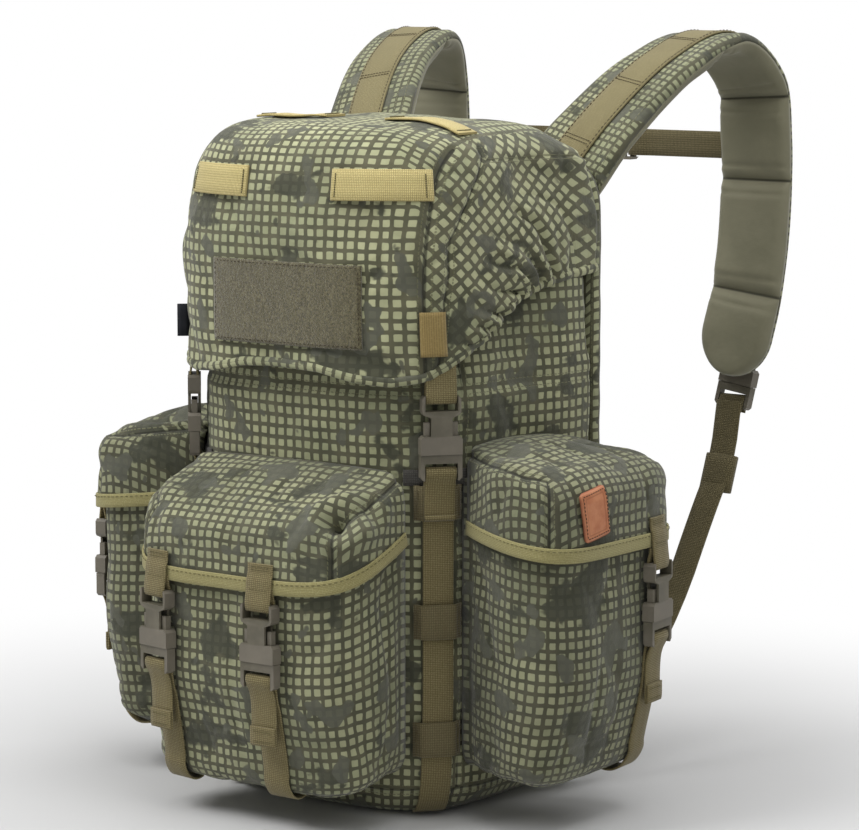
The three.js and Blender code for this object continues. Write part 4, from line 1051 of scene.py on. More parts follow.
def lid_hem(x, y):
    """Height of the lid's hem, which is highest at the back and lowest at the front corners."""
    turn = np.degrees(np.arctan2(np.abs(y), np.abs(x)))
    share = np.where(y < 0, np.interp(turn, *HEM_FRONT), np.interp(turn, *HEM_BACK))
    return 309 + 146 * share


def lid_size(z):
    """The lid's size at one height, as a share of its full size."""
    line = rounded_line([(0, z0, s * 100) for z0, s in LID_PROFILE], 200, 2)
    return np.interp(-np.asarray(z), -line[:, 1], line[:, 2] / 100)


def lid_power(z):
    """The lid's front corners are rounder towards its top."""
    return np.interp(z, [390, 440, 470, 479], [LID["fp"], 2.75, 2.35, 2.3])


def lid_point(x, z, grow=0.0):
    """A point on the lid's face at one x and height."""
    s = lid_size(z)
    share = np.clip(np.abs(x) / ((LID["half"] + grow) * s), 0, 0.9999)
    p = lid_power(z)
    y = -(LID["front"] + grow) * s * (1 - share ** p) ** (1 / p)
    return np.stack([x + 0 * y, y, z + 0 * y], -1)


def lid_marks(P):
    """Distance to the lid's seams, positive on the corner and side panels."""
    x, y, z = np.abs(P[..., 0]), P[..., 1], P[..., 2]
    first = np.where((y < -45) & (z < 474), np.abs(x - 105), 50)
    second = np.where((x > 98) & (z < 462), np.abs(y - np.interp(z, [310, 400, 455], [-71, -64, -26])), 50)
    top = np.where(y > -30, np.minimum(np.abs(z - 452) + 2, 50), 50)
    far = np.minimum(np.minimum(first, second), top)
    outside = (x > 105) | ((y > -30) & (z < 452))
    return np.where(outside, far + 1e-3, -far - 1e-3), far


def lid_fold(P, S, above, far):
    """How far the lid's cloth stands out, with the gathers of the elastic in each side hem."""
    z = P[..., 2]
    d = 2.0 * noise(P, 75, 11) + 1.1 * noise(P, 30, 12)
    d -= 2.2 * creases(P, 60, 13) * smooth(-20, -60, P[..., 1]) * smooth(470, 440, z)
    d += 1.5 * smooth(-10, -80, P[..., 1]) * bell(z - 405, 40)
    gather = smooth(94, 112, np.abs(P[..., 0])) * smooth(-62, -40, P[..., 1]) * smooth(76, 60, P[..., 1])
    gather *= smooth(462, 440, z)
    lean = np.interp(P[..., 1], [-60, 10, 70], [0.95, 0.7, 0.2])
    along_hem = P[..., 1] + lean * above + 9 * noise(P, 42, 14)
    deep = smooth(86 + 30 * noise(P, 30, 15), 6, above)
    ruff = np.abs(np.sin(along_hem / 15.5 * PI)) ** 0.55
    ruff = ruff + 0.35 * np.abs(np.sin(along_hem / 6.8 * PI)) ** 0.7
    strong = 0.65 + 0.7 * np.clip(noise(P, 26, 16), -0.6, 1)
    d += gather * deep * strong * (10.0 * ruff - 7.6)
    d -= gather * 4.5 * creases(P, 46, 17, (1, 1, 2.2)) * smooth(20, 70, above)
    d += gather * 2.2 * bell(above - 34, 22)
    d -= gather * 1.6 * smooth(12, 0, above)
    d -= 1.5 * bell(far, 2.2) - 0.8 * bell(far - 6, 4)
    d *= smooth(0, 6, above + 2.5) * 0.55 + 0.45
    return d * smooth(0.02, 0.3, S)


def make_lid():
    """The lid's cloth, from its crown down to its hem. Gives its points for what is sewn on it."""
    n = 420
    outline = oval(n, LID["half"], LID["front"], BAG["back"], LID["fp"], LID["bp"])
    line = rounded_line([(0, z0, s * 100) for z0, s in LID_PROFILE], 600, 2)
    down = distances(line * [1, 1, 1.1])
    hem = lid_hem(outline[:, 0], outline[:, 1])
    common = np.interp(457, line[::-1, 1], down[::-1])
    stop = np.interp(-hem, -line[:, 1], down)
    crown = [np.full(n, common * t) for t in np.linspace(0.004, 1, 66)]
    skirt = [common + (np.maximum(stop, common + 0.5) - common) * t for t in np.linspace(0, 1, 92)[1:]]
    D = np.array(crown + skirt)
    Z = np.interp(D, down, line[:, 1])
    S = np.interp(D, down, line[:, 2] / 100)
    X = outline[None, :, 0] * S
    Y = outline[None, :, 1] * np.where(outline[None, :, 1] > 0, np.minimum(S, 1), S)
    power = lid_power(Z)
    round_off = (np.abs(outline[None, :, 0] / LID["half"]) ** power
                 + np.abs(outline[None, :, 1] / LID["front"]) ** power) ** (-1 / power)
    round_off = np.where(outline[None, :, 1] < 0, np.minimum(round_off, 1), 1)
    P = np.stack([X * round_off, Y * round_off, Z], -1)
    normal = normals_of(P, True)
    normal *= np.sign((normal * (P - [0, 0, 380])).sum(-1, keepdims=True))
    inside, far = lid_marks(P)
    P = P + normal * lid_fold(P, S, Z - hem[None], far)[..., None]
    rear = np.repeat((outline[None, :, 1] > 60) & (hem > 440)[None], len(P), 0)
    P[..., 1] = np.where(rear, np.minimum(P[..., 1], 84.2), P[..., 1])
    # The side cloth reaches round the edges of the back panel
    wrap = smooth(20, 80, P[..., 1]) * smooth(100, 118, np.abs(P[..., 0])) * smooth(474, 450, Z)
    P[..., 0] += np.sign(P[..., 0]) * wrap * np.maximum(131.5 - np.abs(P[..., 0]), 0)
    P[..., 1] += wrap * 15 * smooth(56, 82, P[..., 1])
    around = np.cumsum(np.linalg.norm(np.diff(outline, axis=0, append=outline[:1]), axis=1))
    along = np.concatenate([[0], around])
    drop, across, deep, share = [np.concatenate([v, v[:, :1]], 1) for v in (Z, P[..., 0], P[..., 1], S)]
    wall = smooth(0.6, 0.93, share)
    span = LID["front"] * share
    turned = np.clip(-deep / (0.78 * span), -1, 1)
    main = np.stack([across, (478 - drop) - (1 - wall) * deep + wall * span * turned], -1)
    side = np.stack([along[None] + drop, drop + 0.25 * deep - along[None]], -1) * math.sqrt(0.5)
    cloth = sheet_mesh("lid_cloth", P, main, wrap=True, seam=inside, side=side, flip=True)
    solidify(cloth, 1.6)
    dress(cloth, CAMO_LID, "camo_cloth", "lid", "lid")
    make_lid_roll(P[-1], hem < 440)
    return P


def make_lid_roll(edge, keep):
    """Rolled hem round the front and the sides of the lid."""
    order = (np.arange(len(edge)) + np.argmax(~keep)) % len(edge)
    edge = edge[order[keep[order]]]
    around = 12
    out = unit(edge * [1, 1, 0])
    up = unit(np.cross(out, unit(np.gradient(edge, axis=0))))
    up *= np.sign(up[:, 2:3])
    tube = []
    for w in 2 * PI * np.arange(around) / around:
        tube.append(edge - out * 0.6 + out * 2.1 * math.cos(w) + up * (3.2 * math.sin(w) + 1.2))
    R = np.stack(tube, 1)
    s = distances(edge)
    round_it = np.repeat([np.arange(around + 1) * 1.6], len(s), 0)
    UV = np.stack([np.repeat(s[:, None], around + 1, 1), round_it], -1)
    roll = sheet_mesh("lid_hem_roll", R, UV, wrap=True, seam=np.full(R.shape[:2], 30.0))
    dress(roll, CAMO, "camo_cloth", "lid")


def on_lid(x, z, lift):
    """Grid of points lying on the lid's front face."""
    P = lid_point(x, z)
    e = 0.6
    n = np.cross(lid_point(x + e, z) - lid_point(x - e, z), lid_point(x, z + e) - lid_point(x, z - e))
    return P + unit(n) * np.asarray(lift)[..., None], unit(n)


def lid_height(cloth, x, y):
    """Height of the lid's cloth over points on the ground plane."""
    top = cloth[cloth[..., 2] > 430]
    near = [np.argmin(np.hypot(top[:, 0] - a, top[:, 1] - b)) for a, b in zip(x, y)]
    return np.convolve(np.pad(top[near, 2], 2, mode="edge"), np.full(5, 0.2), mode="valid")


def make_loop_panel():
    """Fuzzy panel on the lid's front face, sewn down along its edge."""
    left, right, low, high = -57, 69, 327, 384
    x, z = np.meshgrid(np.linspace(left, right, 90), np.linspace(low, high, 50))
    edge = np.minimum(np.minimum(x - left, right - x), np.minimum(z - low, high - z))
    P, _ = on_lid(x, z, 2.4 + 0.5 * noise(np.stack([x, 0 * x, z], -1), 30, 21) + 0.5 * smooth(0, 2.5, edge))
    pile = sheet_mesh("loop_pile_panel", P, np.stack([x, z], -1), seam=edge)
    solidify(pile, 2.6)
    dress(pile, PILE, "hook_loop", "lid", "loop_panel")
    corners = [(left + 2, low + 2), (right - 2, low + 2), (right - 2, high - 2), (left + 2, high - 2)]
    rows = []
    for a, b in zip(corners, corners[1:] + corners[:1]):
        t = np.linspace(0, 1, 40)
        L, m = on_lid(a[0] + (b[0] - a[0]) * t, a[1] + (b[1] - a[1]) * t, np.full(40, 2.9))
        rows.append(stitches("row", L, m, pitch=3.4))
    dress(join("loop_panel_stitching", rows), THREAD_DARK, "webbing", "lid")


# Webbing loops on the lid: middle of the pair, half their distance, half length and bow
LID_LOOPS = {"front": (8, 66, 30, 1.8), "top": (13, 57, 31.5, 0.7)}
LOOP_HEIGHT = 437
LOOP_DEPTH = -26.0


def make_lid_loops(cloth):
    """Two webbing loops on the lid's front shoulder and two across its top."""
    n = 22
    t = np.linspace(-1, 1, n)
    for side, word in ((-1, "left"), (1, "right")):
        for where, (middle, apart, half, bow) in LID_LOOPS.items():
            x = middle + side * apart + half * t
            lift = bow * (1 - t ** 4) + 1.2
            if where == "front":
                L, m = on_lid(x, LOOP_HEIGHT + 0 * x, lift)
                up = np.cross(m, unit(np.gradient(L, axis=0)))
                face = m[10]
            else:
                y = np.full(n, LOOP_DEPTH)
                L = np.stack([x, y, lid_height(cloth, x, y) + lift - 0.3], -1)
                up = np.repeat([[0, 1.0, 0]], n, 0)
                face = UP
            name = f"lid_loop_{where}_{word}"
            loop = ribbon(f"{name}_webbing", L, up, WEB, 1.6, n=40, rounds=0, wave=0.5, seed=30 + side)
            dress(loop, LOOP, "webbing", "lid", name)
            bars = []
            for k in (-0.86, 0.86):
                i = int(round((k + 1) / 2 * (n - 1)))
                u = unit(up[i])
                line = np.array([L[i] - u * 9, L[i] + u * 9]) + face * 0.95
                bars.append(stitches("bar", line, face, pitch=1.5, length=1.3, width=1.1))
            dress(join(f"{name}_bars", bars), THREAD, "webbing", "lid")


def make_lid_label():
    """Small bare label sewn at the lid's front edge."""
    low, high = 323, 353
    x, z = np.meshgrid(np.linspace(102.5, 113, 6), np.linspace(low, high, 12))
    P, _ = on_lid(x, z, 2.2 + 0.04 * (high - z))
    label = sheet_mesh("sewn_label", P, np.stack([x, z], -1), seam=np.full(x.shape, 20.0))
    solidify(label, 0.8)
    dress(label, GOLD, "webbing", "lid", "lid_label")


def make_side_tab():
    """Small dark tab folded out of the lid's side seam."""
    c = lid_point(np.array(-112.0), np.array(334.0))
    out = unit(np.array([-0.75, -0.66, 0]))
    back = np.array([0.4, -0.4, 0])
    path = [c - out, c + out * 8, c + out * 9.2 + back, c + out * 8 + 2 * back, c + 2 * back]
    tab = ribbon("side_tab", path, UP, 23, 0.7)
    dress(tab, BLACK, "webbing", "lid")


def make_patch():
    """Bare leather patch on the right pocket's flap, slightly turned."""
    pk = POCKETS["right"]
    n = 26
    cy, cz = -35, 221
    left, right, low, high = cy - 14, cy + 14, cz - 17, cz + 17
    y, z = np.meshgrid(np.linspace(left, right, n), np.linspace(low, high, n))
    past = np.maximum(np.abs(z - cz) - 14, 0)
    y = cy + (y - cy) * (11 + np.sqrt(np.maximum(9 - past ** 2, 0))) / 14
    turn = math.radians(9)
    edge = np.minimum(np.minimum(y - left, right - y), np.minimum(z - low, high - z))
    Y = cy + (y - cy) * math.cos(turn) - (z - cz) * math.sin(turn)
    Z = cz + (y - cy) * math.sin(turn) + (z - cz) * math.cos(turn)
    # The patch lies on the pocket's outer face and bends over its top edge
    top = pk["high"] - POCKET_ROUND
    rise = np.maximum(Z - top, 0)
    roll = rise / POCKET_ROUND
    reach = np.where(rise > 0, POCKET_ROUND * (np.cos(roll) - 1), 0)
    height = np.where(rise > 0, top + POCKET_ROUND * np.sin(roll), Z)
    X = pk["seat"] + (pk["depth"] + reach) * squared(np.clip(np.abs(Y) / (pk["half"] + reach), 0, 0.99))
    bump = 1.5 + 0.9 * smooth(0, 1.6, edge) + 0.25 * noise(np.stack([X, Y, Z], -1), 9, 40)
    P = np.stack([X, Y, height], -1)
    m = normals_of(P, False)
    m *= np.sign(m[..., :1])
    P = P + m * (bump - 0.4 * bell(edge - 5.5, 0.8))[..., None]
    obj = sheet_mesh("patch_leather", P, np.stack([y, z], -1), seam=edge)
    solidify(obj, 2.2)
    dress(obj, LEATHER, "leather", "right_flap", "leather_patch")
    k = 2
    out = np.array([1.0, 0, 0.15])
    rows = []
    for line in (P[k, k:-k], P[k:-k, -1 - k], P[-1 - k, k:-k][::-1], P[k:-k, k][::-1]):
        rows.append(stitches("row", line + [0.15, 0, 0], out, pitch=2.6, length=1.8, width=0.6))
    dress(join("patch_stitching", rows), THREAD_DARK, "leather", "right_flap")


def make_corner_bands():
    """Dark grey strips across the bag's front corners, behind the lid straps."""
    half, front = BAG["half"], BAG["front"]
    for side, word in ((-1, "left"), (1, "right")):
        x = np.linspace(84, 115.5, 24)
        y = -front * (1 - (x / half) ** 3) ** (1 / 3)
        out = unit(np.stack([(x / half) ** 2 / half, -(np.abs(y) / front) ** 2 / front, 0 * x], -1))
        line = np.stack([x, y, 239 + 0 * x], -1) + out * 1.5
        band = ribbon(f"corner_band_{word}", line * [side, 1, 1], UP, 11, 1.0, n=30, rounds=0)
        dress(band, GREY, "dark_webbing", "pack")


# The lid's straps: share of the bag's half width, turn from straight ahead, fastening
STRAP_SHARE = 0.872
STRAP_TURN = math.radians(50)
LID_FASTENING = 256
LID_BUCKLE = (105.7, -64.35)
# Height of each keeper on a strap, and how far it stands out
KEEPERS = ((222, 4.5), (140, 5.4), (58, 5.4))


def bag_corner(side, z):
    """Where a lid strap meets the bag's front corner at one height."""
    w, front, _ = bag_shares(z)
    x = side * BAG["half"] * w * STRAP_SHARE
    y = -BAG["front"] * front * (1 - STRAP_SHARE ** BAG["fp"]) ** (1 / BAG["fp"])
    return np.array([x, y, z])


def make_lid_straps():
    """Two straps that hold the lid down over the bag's front corners."""
    for side, word in ((-1, "left"), (1, "right")):
        out = np.array([math.sin(side * STRAP_TURN), -math.cos(STRAP_TURN), 0])
        f = frame_at((side * LID_BUCKLE[0], LID_BUCKLE[1], LID_FASTENING), UP, out)
        # Tab on the lid, round the female half's bar
        hem = float(lid_hem(np.array(side * 102.0), np.array(-70.0)))
        rise = hem + 20 - LID_FASTENING
        top = [(3.4, rise), (3.4, rise - 8), (4.6, rise - 14), (5.6, rise - 19)]
        path = top + raised(BAR_LOOP, BAR_HIGH)
        tab = ribbon(f"lid_tab_{word}_webbing", in_frame(f, path), f[1], WEB, n=80)
        dress(tab, TAN, "webbing", "lid", f"lid_tab_{word}")
        rows = tab_rows(f, rise - 2.5, rise - 5, o=4.4)
        dress(join(f"lid_tab_{word}_stitching", rows), THREAD, "webbing", "lid")
        # Strap from the male half's bar down the bag's corner
        wall = []
        for z in [*np.linspace(LID_FASTENING - 46, 14, 14), 9, 5, 2.4]:
            wall.append(bag_corner(side, z) + out * (2.2 if z < 200 else 2.6))
        tail = [(2.6, -42), (2.7, -45), (1.3, -45.8), (1.0, -44.5), (1.0, -36)]
        path = tail + raised(LOW_LOOP, BAR_LOW) + [(0.0, -20), (-0.6, -28)]
        line = np.concatenate([in_frame(f, path), np.array(wall)])
        strap = ribbon(f"lid_strap_{word}_webbing", line, f[1], WEB, n=150)
        hold = ("pack", f"lid_{word}_male", f[0] * [1, 1, 0] + [0, 0, 30], f[0] - [0, 0, 18])
        dress(strap, TAN, "webbing", hold, f"lid_strap_{word}")
        make_keepers(side, word, f)


def make_keepers(side, word, f):
    """Short dark bands sewn over a lid strap, the highest one flatter than the others."""
    made = []
    for z, lift in KEEPERS:
        g = (bag_corner(side, z), f[1], f[2], f[3])
        right = [(4, lift + 0.2, 0), (11, lift, 0), (12.4, lift - 0.8, 0), (13.4, 1.0, 0), (16.5, 0.2, 0)]
        made.append(ribbon("keeper", in_frame(g, mirrored(right)), f[3], 24, 1.4))
        for k in (-14.8, 14.8):
            line = in_frame(g, [(k, 2.4, -10), (k, 2.4, 10)])
            made.append(stitches("row", line, -f[2], pitch=1.6, length=1.3, width=0.9))
    dress(join(f"keepers_{word}", made), KEEPER, "dark_webbing", "pack", f"lid_strap_keepers_{word}")


# Harness
# The shoulder strap's middle line, as shares of its width, depth and height
PAD_SHARES = [(0.58, -0.01, 0), (0.7, 0.175, 0.42), (0.83, 0.47, 0.84), (0.91, 0.78, 1), (0.985, 0.955, 0.74),
              (1, 0.995, 0.3), (1, 0.99, -0.25), (0.987, 0.955, -0.76), (0.95, 0.925, -1.13),
              (0.922, 0.9, -1.41)]
PAD_WIDTHS = [76, 58, 58]
QUILTING = (0.36, 0.54, 0.675, 0.86)
SHOULDER_BUCKLE = (134.69, 265.87, 273.76)
CHEST_BUCKLE = (-8, 281.12, 450.25)


def pad_line(side, n):
    """The shoulder strap's middle line: a centripetal spline through the harness's points."""
    K = np.array([[side * 147 * a, 97.5 + 177 * b, 425 + 102 * c] for a, b, c in PAD_SHARES])
    K = np.concatenate([[2 * K[0] - K[1]], K, [2 * K[-1] - K[-2]]])
    out = []
    for i in range(1, len(K) - 2):
        p0, p1, p2, p3 = K[i - 1:i + 3]
        t0 = 0.0
        t1 = t0 + np.linalg.norm(p1 - p0) ** 0.5
        t2 = t1 + np.linalg.norm(p2 - p1) ** 0.5
        t3 = t2 + np.linalg.norm(p3 - p2) ** 0.5
        t = np.linspace(t1, t2, 80, endpoint=False)[:, None]
        a1 = (t1 - t) / (t1 - t0) * p0 + (t - t0) / (t1 - t0) * p1
        a2 = (t2 - t) / (t2 - t1) * p1 + (t - t1) / (t2 - t1) * p2
        a3 = (t3 - t) / (t3 - t2) * p2 + (t - t2) / (t3 - t2) * p3
        b1 = (t2 - t) / (t2 - t0) * a1 + (t - t0) / (t2 - t0) * a2
        b2 = (t3 - t) / (t3 - t1) * a2 + (t - t1) / (t3 - t1) * a3
        out.append((t2 - t) / (t2 - t1) * b1 + (t - t1) / (t2 - t1) * b2)
    out.append(K[-2][None])
    return chain(np.concatenate(out), n)


def pad_frames(side, n):
    """Middle line with its width and outward directions, and the way along it."""
    C = pad_line(side, n)
    T = unit(np.gradient(C, axis=0))
    A = np.zeros_like(C)
    A[:, 0] = 1.0
    A = unit(A - (A * T).sum(-1, keepdims=True) * T)
    N = np.cross(T, A)
    N *= np.sign((N * (C - np.array([side * 100, 120, 400]))).sum(-1, keepdims=True))
    s = distances(C)
    return C, A, N, s / s[-1], s


def make_shoulder(side, word):
    """A shoulder strap: camouflage cloth outside, quilted padding inside."""
    C, A, N, t, s = pad_frames(side, 260)
    width = np.interp(t, [0, 0.5, 1], PAD_WIDTHS)
    round_end = np.sqrt(np.clip(1 - ((t - 0.93) / 0.07) ** 2, 0.0, 1)) * (t > 0.93) + (t <= 0.93)
    half = width / 2 * np.maximum(round_end, 0.12)
    m = 22
    w = np.linspace(-1, 1, m)
    across = np.sin(w * PI / 2)
    outer, inner = [], []
    channel = np.min([np.abs(t - k) for k in QUILTING], 0) * s[-1]
    for a in across:
        edge = (1 - abs(a)) * half
        rim = np.sqrt(np.clip(1 - (1 - np.clip(edge / 6.5, 0, 1)) ** 2, 0, 1))
        base = C + A * (half * a)[:, None]
        d_out = 6.6 * rim + 0.5 * noise(base, 34, 51)
        # The padding of the inner side is quilted into cushions
        puff = 7.6 * rim * (0.5 + 0.5 * smooth(0, 15, channel)) - 3.0 * bell(channel, 2.0) * rim
        pleat = 1.7 * bell(channel - 6.5, 2.6) * (0.5 + noise(base, 24, 53)) - 0.8 * bell(channel - 10.5, 1.6)
        pleat = pleat + 0.9 * smooth(0, 20, edge) * smooth(0, 17, channel)
        d_in = puff + pleat * rim + 0.6 * noise(base, 26, 52)
        outer.append(base + N * d_out[:, None])
        inner.append(base - N * d_in[:, None])
    seam_out = np.minimum(np.abs(np.stack([(1 - abs(a)) * half for a in across], 1) - 8), 30)
    seam_in = np.minimum(np.repeat(channel[:, None], m, 1), 30)
    U = np.stack([half * a for a in across], 1)
    for name, grid, seam, mat, slot in (("outer", outer, seam_out, CAMO_STRAP, "camo_cloth"),
                                        ("inner", inner, seam_in, PAD, "padding")):
        P = np.stack(grid, 1)
        against = (P[..., 2] < 470) & (t[:, None] < 0.3)
        P[..., 1] = np.where(against, np.maximum(P[..., 1], 98.6), P[..., 1])
        UV = np.stack([U, np.repeat(s[:, None], m, 1)], -1)
        flip = (name == "outer") == (side > 0)
        part = sheet_mesh(f"shoulder_{word}_{name}", P, UV, seam=seam, flip=flip)
        solidify(part, 0.8, 0.0)
        dress(part, mat, slot, "harness", f"shoulder_strap_{word}")
    make_shoulder_tape(word, C, A, N, t, s)


def make_shoulder_tape(word, C, A, N, t, s):
    """Webbing along the strap's outer face, sewn along both edges and tacked across."""
    keep = (t > 0.035) & (t < 0.965)
    lift = 7 + 1.2
    band = ribbon(f"shoulder_{word}_tape", (C + N * lift)[keep], A[keep], 29, 1.7, n=200, rounds=0)
    dress(band, SHOULDER, "webbing", "harness", f"shoulder_tape_{word}")
    rows = []
    for d in np.arange(40, s[-1] * 0.93, 57):
        i = int(np.searchsorted(s, d))
        for k in (-1.4, 1.4):
            c = C[i] + N[i] * (lift + 1.1) + unit(C[i + 1] - C[i]) * k
            line = np.array([c - A[i] * 13, c + A[i] * 13])
            rows.append(stitches("tack", line, N[i], pitch=2.4, length=1.8))
    for k in (-12.8, 12.8):
        line = (C + N * (lift + 1.0) + A * k)[keep][::3]
        rows.append(stitches("edge", line, N[keep][::3], pitch=3.6, length=2.4))
    dress(join(f"shoulder_{word}_stitching", rows), THREAD_DARK, "webbing", "harness")


def make_lower(side, word):
    """Strap from the bag's lower corner to the buckle on the shoulder strap's end."""
    x, y, z = SHOULDER_BUCKLE
    f = frame_at((side * x, y, z), np.array([side * 0.141, 0.1516, 0.9783]), BACK)
    start, end = in_frame(f, [(-1.6, -13)])[0], np.array([side * 118, 98.6, 24.0])
    flat = [(0, 0), (0.05, 0.19), (0.2, 0.35), (0.42, 0.62), (0.74, 0.86), (1, 1)]
    run = [start + (end - start) * [a, a, b] for a, b in flat]
    bar = [(0.8, -8), (1.2, -4), (1.6, 0), (2.4, 3), (4.4, 3.8), (6.4, 2.6), (7.0, 0), (6.8, -3), (6.9, -8)]
    path = in_frame(f, raised(bar, BAR_LOW))
    loop = ribbon(f"lower_{word}_loop", path, RIGHT, WEB, n=70)
    dress(loop, BROWN, "dark_webbing", f"shoulder_{word}_male", f"lower_strap_{word}")
    line = np.concatenate([np.array(run), [end + np.array([0, -1.4, -8])]])
    strap = ribbon(f"lower_{word}_webbing", line, RIGHT, WEB, n=150)
    hold = ("pack", "harness", end, start)
    dress(strap, BROWN, "dark_webbing", hold, f"lower_strap_{word}")
    # Keeper loop round the strap and its folded tail
    c = start + (end - start) * [0.075, 0.075, 0.225]
    d = unit((end - start) * [0.5, 0.5, 1.0])
    x = unit(RIGHT - d * d[0])
    n = np.cross(d, x)
    ring = [(0, -3.2), (-12, -3.2), (-13.1, 0), (-12, 3.2), (0, 3.4)]
    path = [c + x * a + n * b for a, b in ring + [(-a, b) for a, b in ring[-2::-1]]]
    keeper = ribbon(f"lower_{word}_keeper", path, d, 28, 1.4)
    dress(keeper, BROWN, "dark_webbing", hold, f"lower_strap_keeper_{word}")
    # Tab that holds the female half on the pad
    path = [(1.2, 58), (1.4, 50)] + raised(BAR_LOOP[:6] + [(0.6, 6), (0.2, 16)], BAR_HIGH)
    tab = ribbon(f"shoulder_{word}_tab", in_frame(f, path), f[1], WEB, n=60)
    dress(tab, SHOULDER, "webbing", "harness")


def make_sternum():
    """The chest strap in two halves, one on each side of its buckle."""
    f = frame_at(CHEST_BUCKLE, RIGHT, BACK)
    for side, word, bar in ((1, "right", BAR_HIGH), (-1, "left", BAR_LOW)):
        loop = BAR_LOOP[:6] if side > 0 else [(o, -z) for o, z in BAR_LOOP[:6]]
        start = [(5.6, side * 40), (5.6, side * 14)]
        back = [(2.2, side * 7), (4.4, side * 15), (4.8, side * 24), (5.0, side * 60)]
        path = raised(start + loop + back, bar) + [(5.2, 166.0 * side + 8)]
        strap = ribbon(f"sternum_{word}_webbing", in_frame(f, path), UP, 20, n=110)
        hold = "harness" if side > 0 else ("harness", "sternum_male", f[0] - [100, 0, 0], f[0] - [20, 0, 0])
        dress(strap, BROWN, "dark_webbing", hold, f"sternum_strap_{word}")


# Buckles
def finish_buckles():
    """Gives the frame's buckles their plastic and soft edges."""
    for obj in list(bpy.context.scene.objects):
        if obj.type == "MESH" and obj.name.endswith("male") and not obj.hide_render:
            obj.data.materials.clear()
            obj.data.materials.append(PLASTIC)
            mod = obj.modifiers.new("edges", "BEVEL")
            mod.width = 0.0006
            mod.segments = 2
            mod.limit_method = "ANGLE"
            mod.angle_limit = math.radians(35)


make_bag()
make_back()
make_haul_loop()
for i, (word, pocket) in enumerate(POCKETS.items()):
    cloth = {"front": CAMO_FRONT, "right": CAMO_RIGHT, "left": CAMO_LEFT}[word]
    dents = [(80, -53, 217, 14, 9), (72, -64, 204, 3, 14), (88, -36, 221, 8, 8)] if word == "front" else []
    make_pocket(word, pocket, cloth, 60 + 10 * i)
    make_flap(word, pocket, f"{word}_flap", CAMO_FLAP if word == "front" else cloth, 90 + 10 * i, dents)
    make_pocket_straps(word, pocket, f"{word}_flap")
lid_cloth = make_lid()
make_loop_panel()
make_lid_loops(lid_cloth)
make_lid_label()
make_side_tab()
make_corner_bands()
make_lid_straps()
make_patch()
for side, word in ((-1, "left"), (1, "right")):
    make_shoulder(side, word)
    make_lower(side, word)
make_sternum()
finish_buckles()


# Floor, light and camera, in metres
FLOOR_GREY = 0.6
SKY = 0.34
AIM = Vector((0, 0, 0.25))
LAMPS = [("key", (-0.85, -1.2, 1.95), 33, 1.2), ("top", (0.25, 0.0, 1.9), 20, 1.5),
         ("fill", (1.35, -0.7, 1.6), 5, 1.4), ("rim", (0.8, 2.4, 2.4), 22, 1.6)]
CAMERA_AIM = Vector((0, 0, 0.230))
CAMERA_TURN, CAMERA_RISE, CAMERA_FAR = math.radians(37.8), math.radians(8.3), 2.4086
CAMERA_SHIFT = (0.01649, 0.01531)
LENS, SENSOR = 142.07, 36


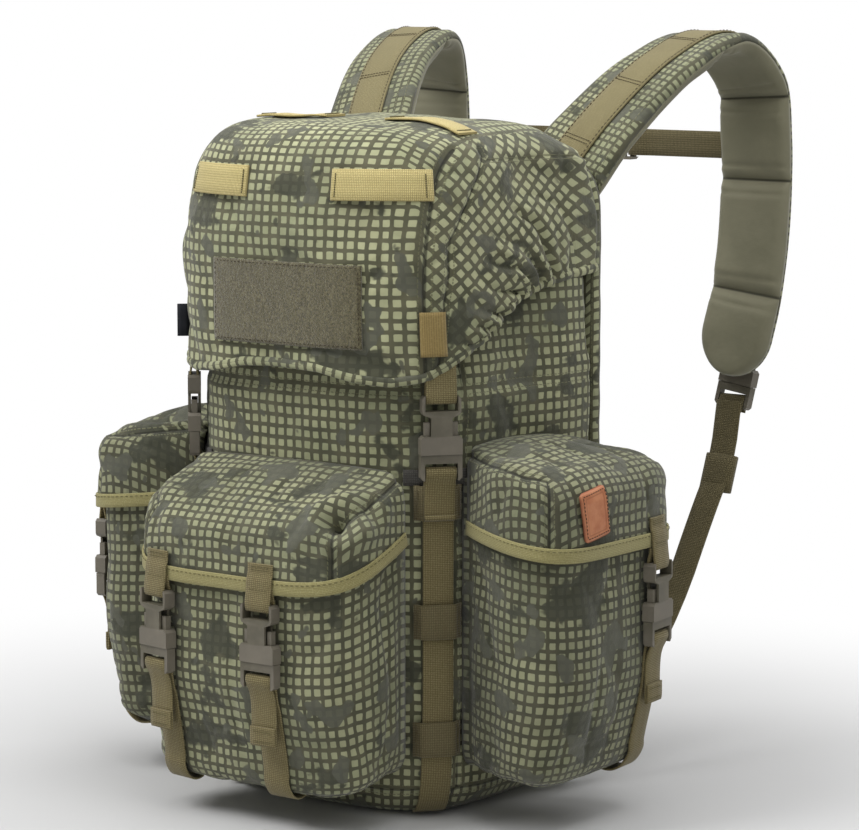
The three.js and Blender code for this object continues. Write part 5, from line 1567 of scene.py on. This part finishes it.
def make_floor():
    """Grey floor under the pack, plain white for the camera further out."""
    bpy.ops.mesh.primitive_circle_add(vertices=96, radius=14, fill_type="NGON", location=(0, 0, -0.0005))
    floor = bpy.context.object
    floor.name = "studio_floor"
    n = Nodes("studio_white")
    n.put(n.bsdf, "Base Color", (FLOOR_GREY, FLOOR_GREY, FLOOR_GREY, 1))
    n.put(n.bsdf, "Roughness", 0.9)
    length = n.add("ShaderNodeVectorMath", {"operation": "LENGTH"})
    n.put(length, "0", n.add("ShaderNodeNewGeometry").outputs["Position"])
    fade = n.ramp(length.outputs["Value"], 0.22, 0.75)
    share = n.times(fade, n.add("ShaderNodeLightPath").outputs["Is Camera Ray"])
    glow = n.add("ShaderNodeEmission", None, Color=(1, 1, 1, 1))
    pick = n.add("ShaderNodeMixShader")
    for k, value in enumerate((share, n.bsdf, glow)):
        n.put(pick, str(k), value)
    n.put(n.tree.nodes["Material Output"], "Surface", pick)
    floor.data.materials.append(n.mat)


def make_world():
    """Dim even light all round, with plain white behind the pack."""
    world = bpy.data.worlds.new("studio")
    world.use_nodes = True
    bpy.context.scene.world = world
    nodes, link = world.node_tree.nodes, world.node_tree.links.new
    light = nodes["Background"]
    light.inputs[1].default_value = SKY
    behind = nodes.new("ShaderNodeBackground")
    for shader in (light, behind):
        shader.inputs[0].default_value = (1, 1, 1, 1)
    camera_ray = nodes.new("ShaderNodeLightPath").outputs["Is Camera Ray"]
    pick = nodes.new("ShaderNodeMixShader")
    for i, output in enumerate((camera_ray, light.outputs[0], behind.outputs[0])):
        link(output, pick.inputs[i])
    link(pick.outputs[0], nodes["World Output"].inputs[0])


def make_lamps():
    """Four soft lamps, all aimed at the pack's middle."""
    for name, spot, power, size in LAMPS:
        data = bpy.data.lights.new(name, "AREA")
        data.energy, data.size = power, size
        lamp = bpy.data.objects.new(name, data)
        bpy.context.scene.collection.objects.link(lamp)
        lamp.location = spot
        lamp.rotation_euler = (AIM - Vector(spot)).to_track_quat("-Z", "Y").to_euler()


def set_camera():
    """The camera that took the photograph: far off, from the front and the right."""
    az, el = CAMERA_TURN, CAMERA_RISE
    back = Vector((math.sin(az) * math.cos(el), -math.cos(az) * math.cos(el), math.sin(el)))
    right = Vector((math.cos(az), math.sin(az), 0))
    up = back.cross(right)
    forward = (-back + right * CAMERA_SHIFT[0] + up * CAMERA_SHIFT[1]).normalized()
    right = forward.cross(Vector((0, 0, 1))).normalized()
    up = right.cross(forward)
    data = bpy.data.cameras.new("photo_camera")
    data.lens, data.sensor_width, data.clip_end = LENS, SENSOR, 60
    camera = bpy.data.objects.new("photo_camera", data)
    bpy.context.scene.collection.objects.link(camera)
    spin = Matrix((right, up, -forward)).transposed()
    camera.matrix_world = Matrix.Translation(CAMERA_AIM + back * CAMERA_FAR) @ spin.to_4x4()
    bpy.context.scene.camera = camera


make_floor()
make_world()
make_lamps()
set_camera()
bpy.context.scene.view_settings.view_transform = "Standard"
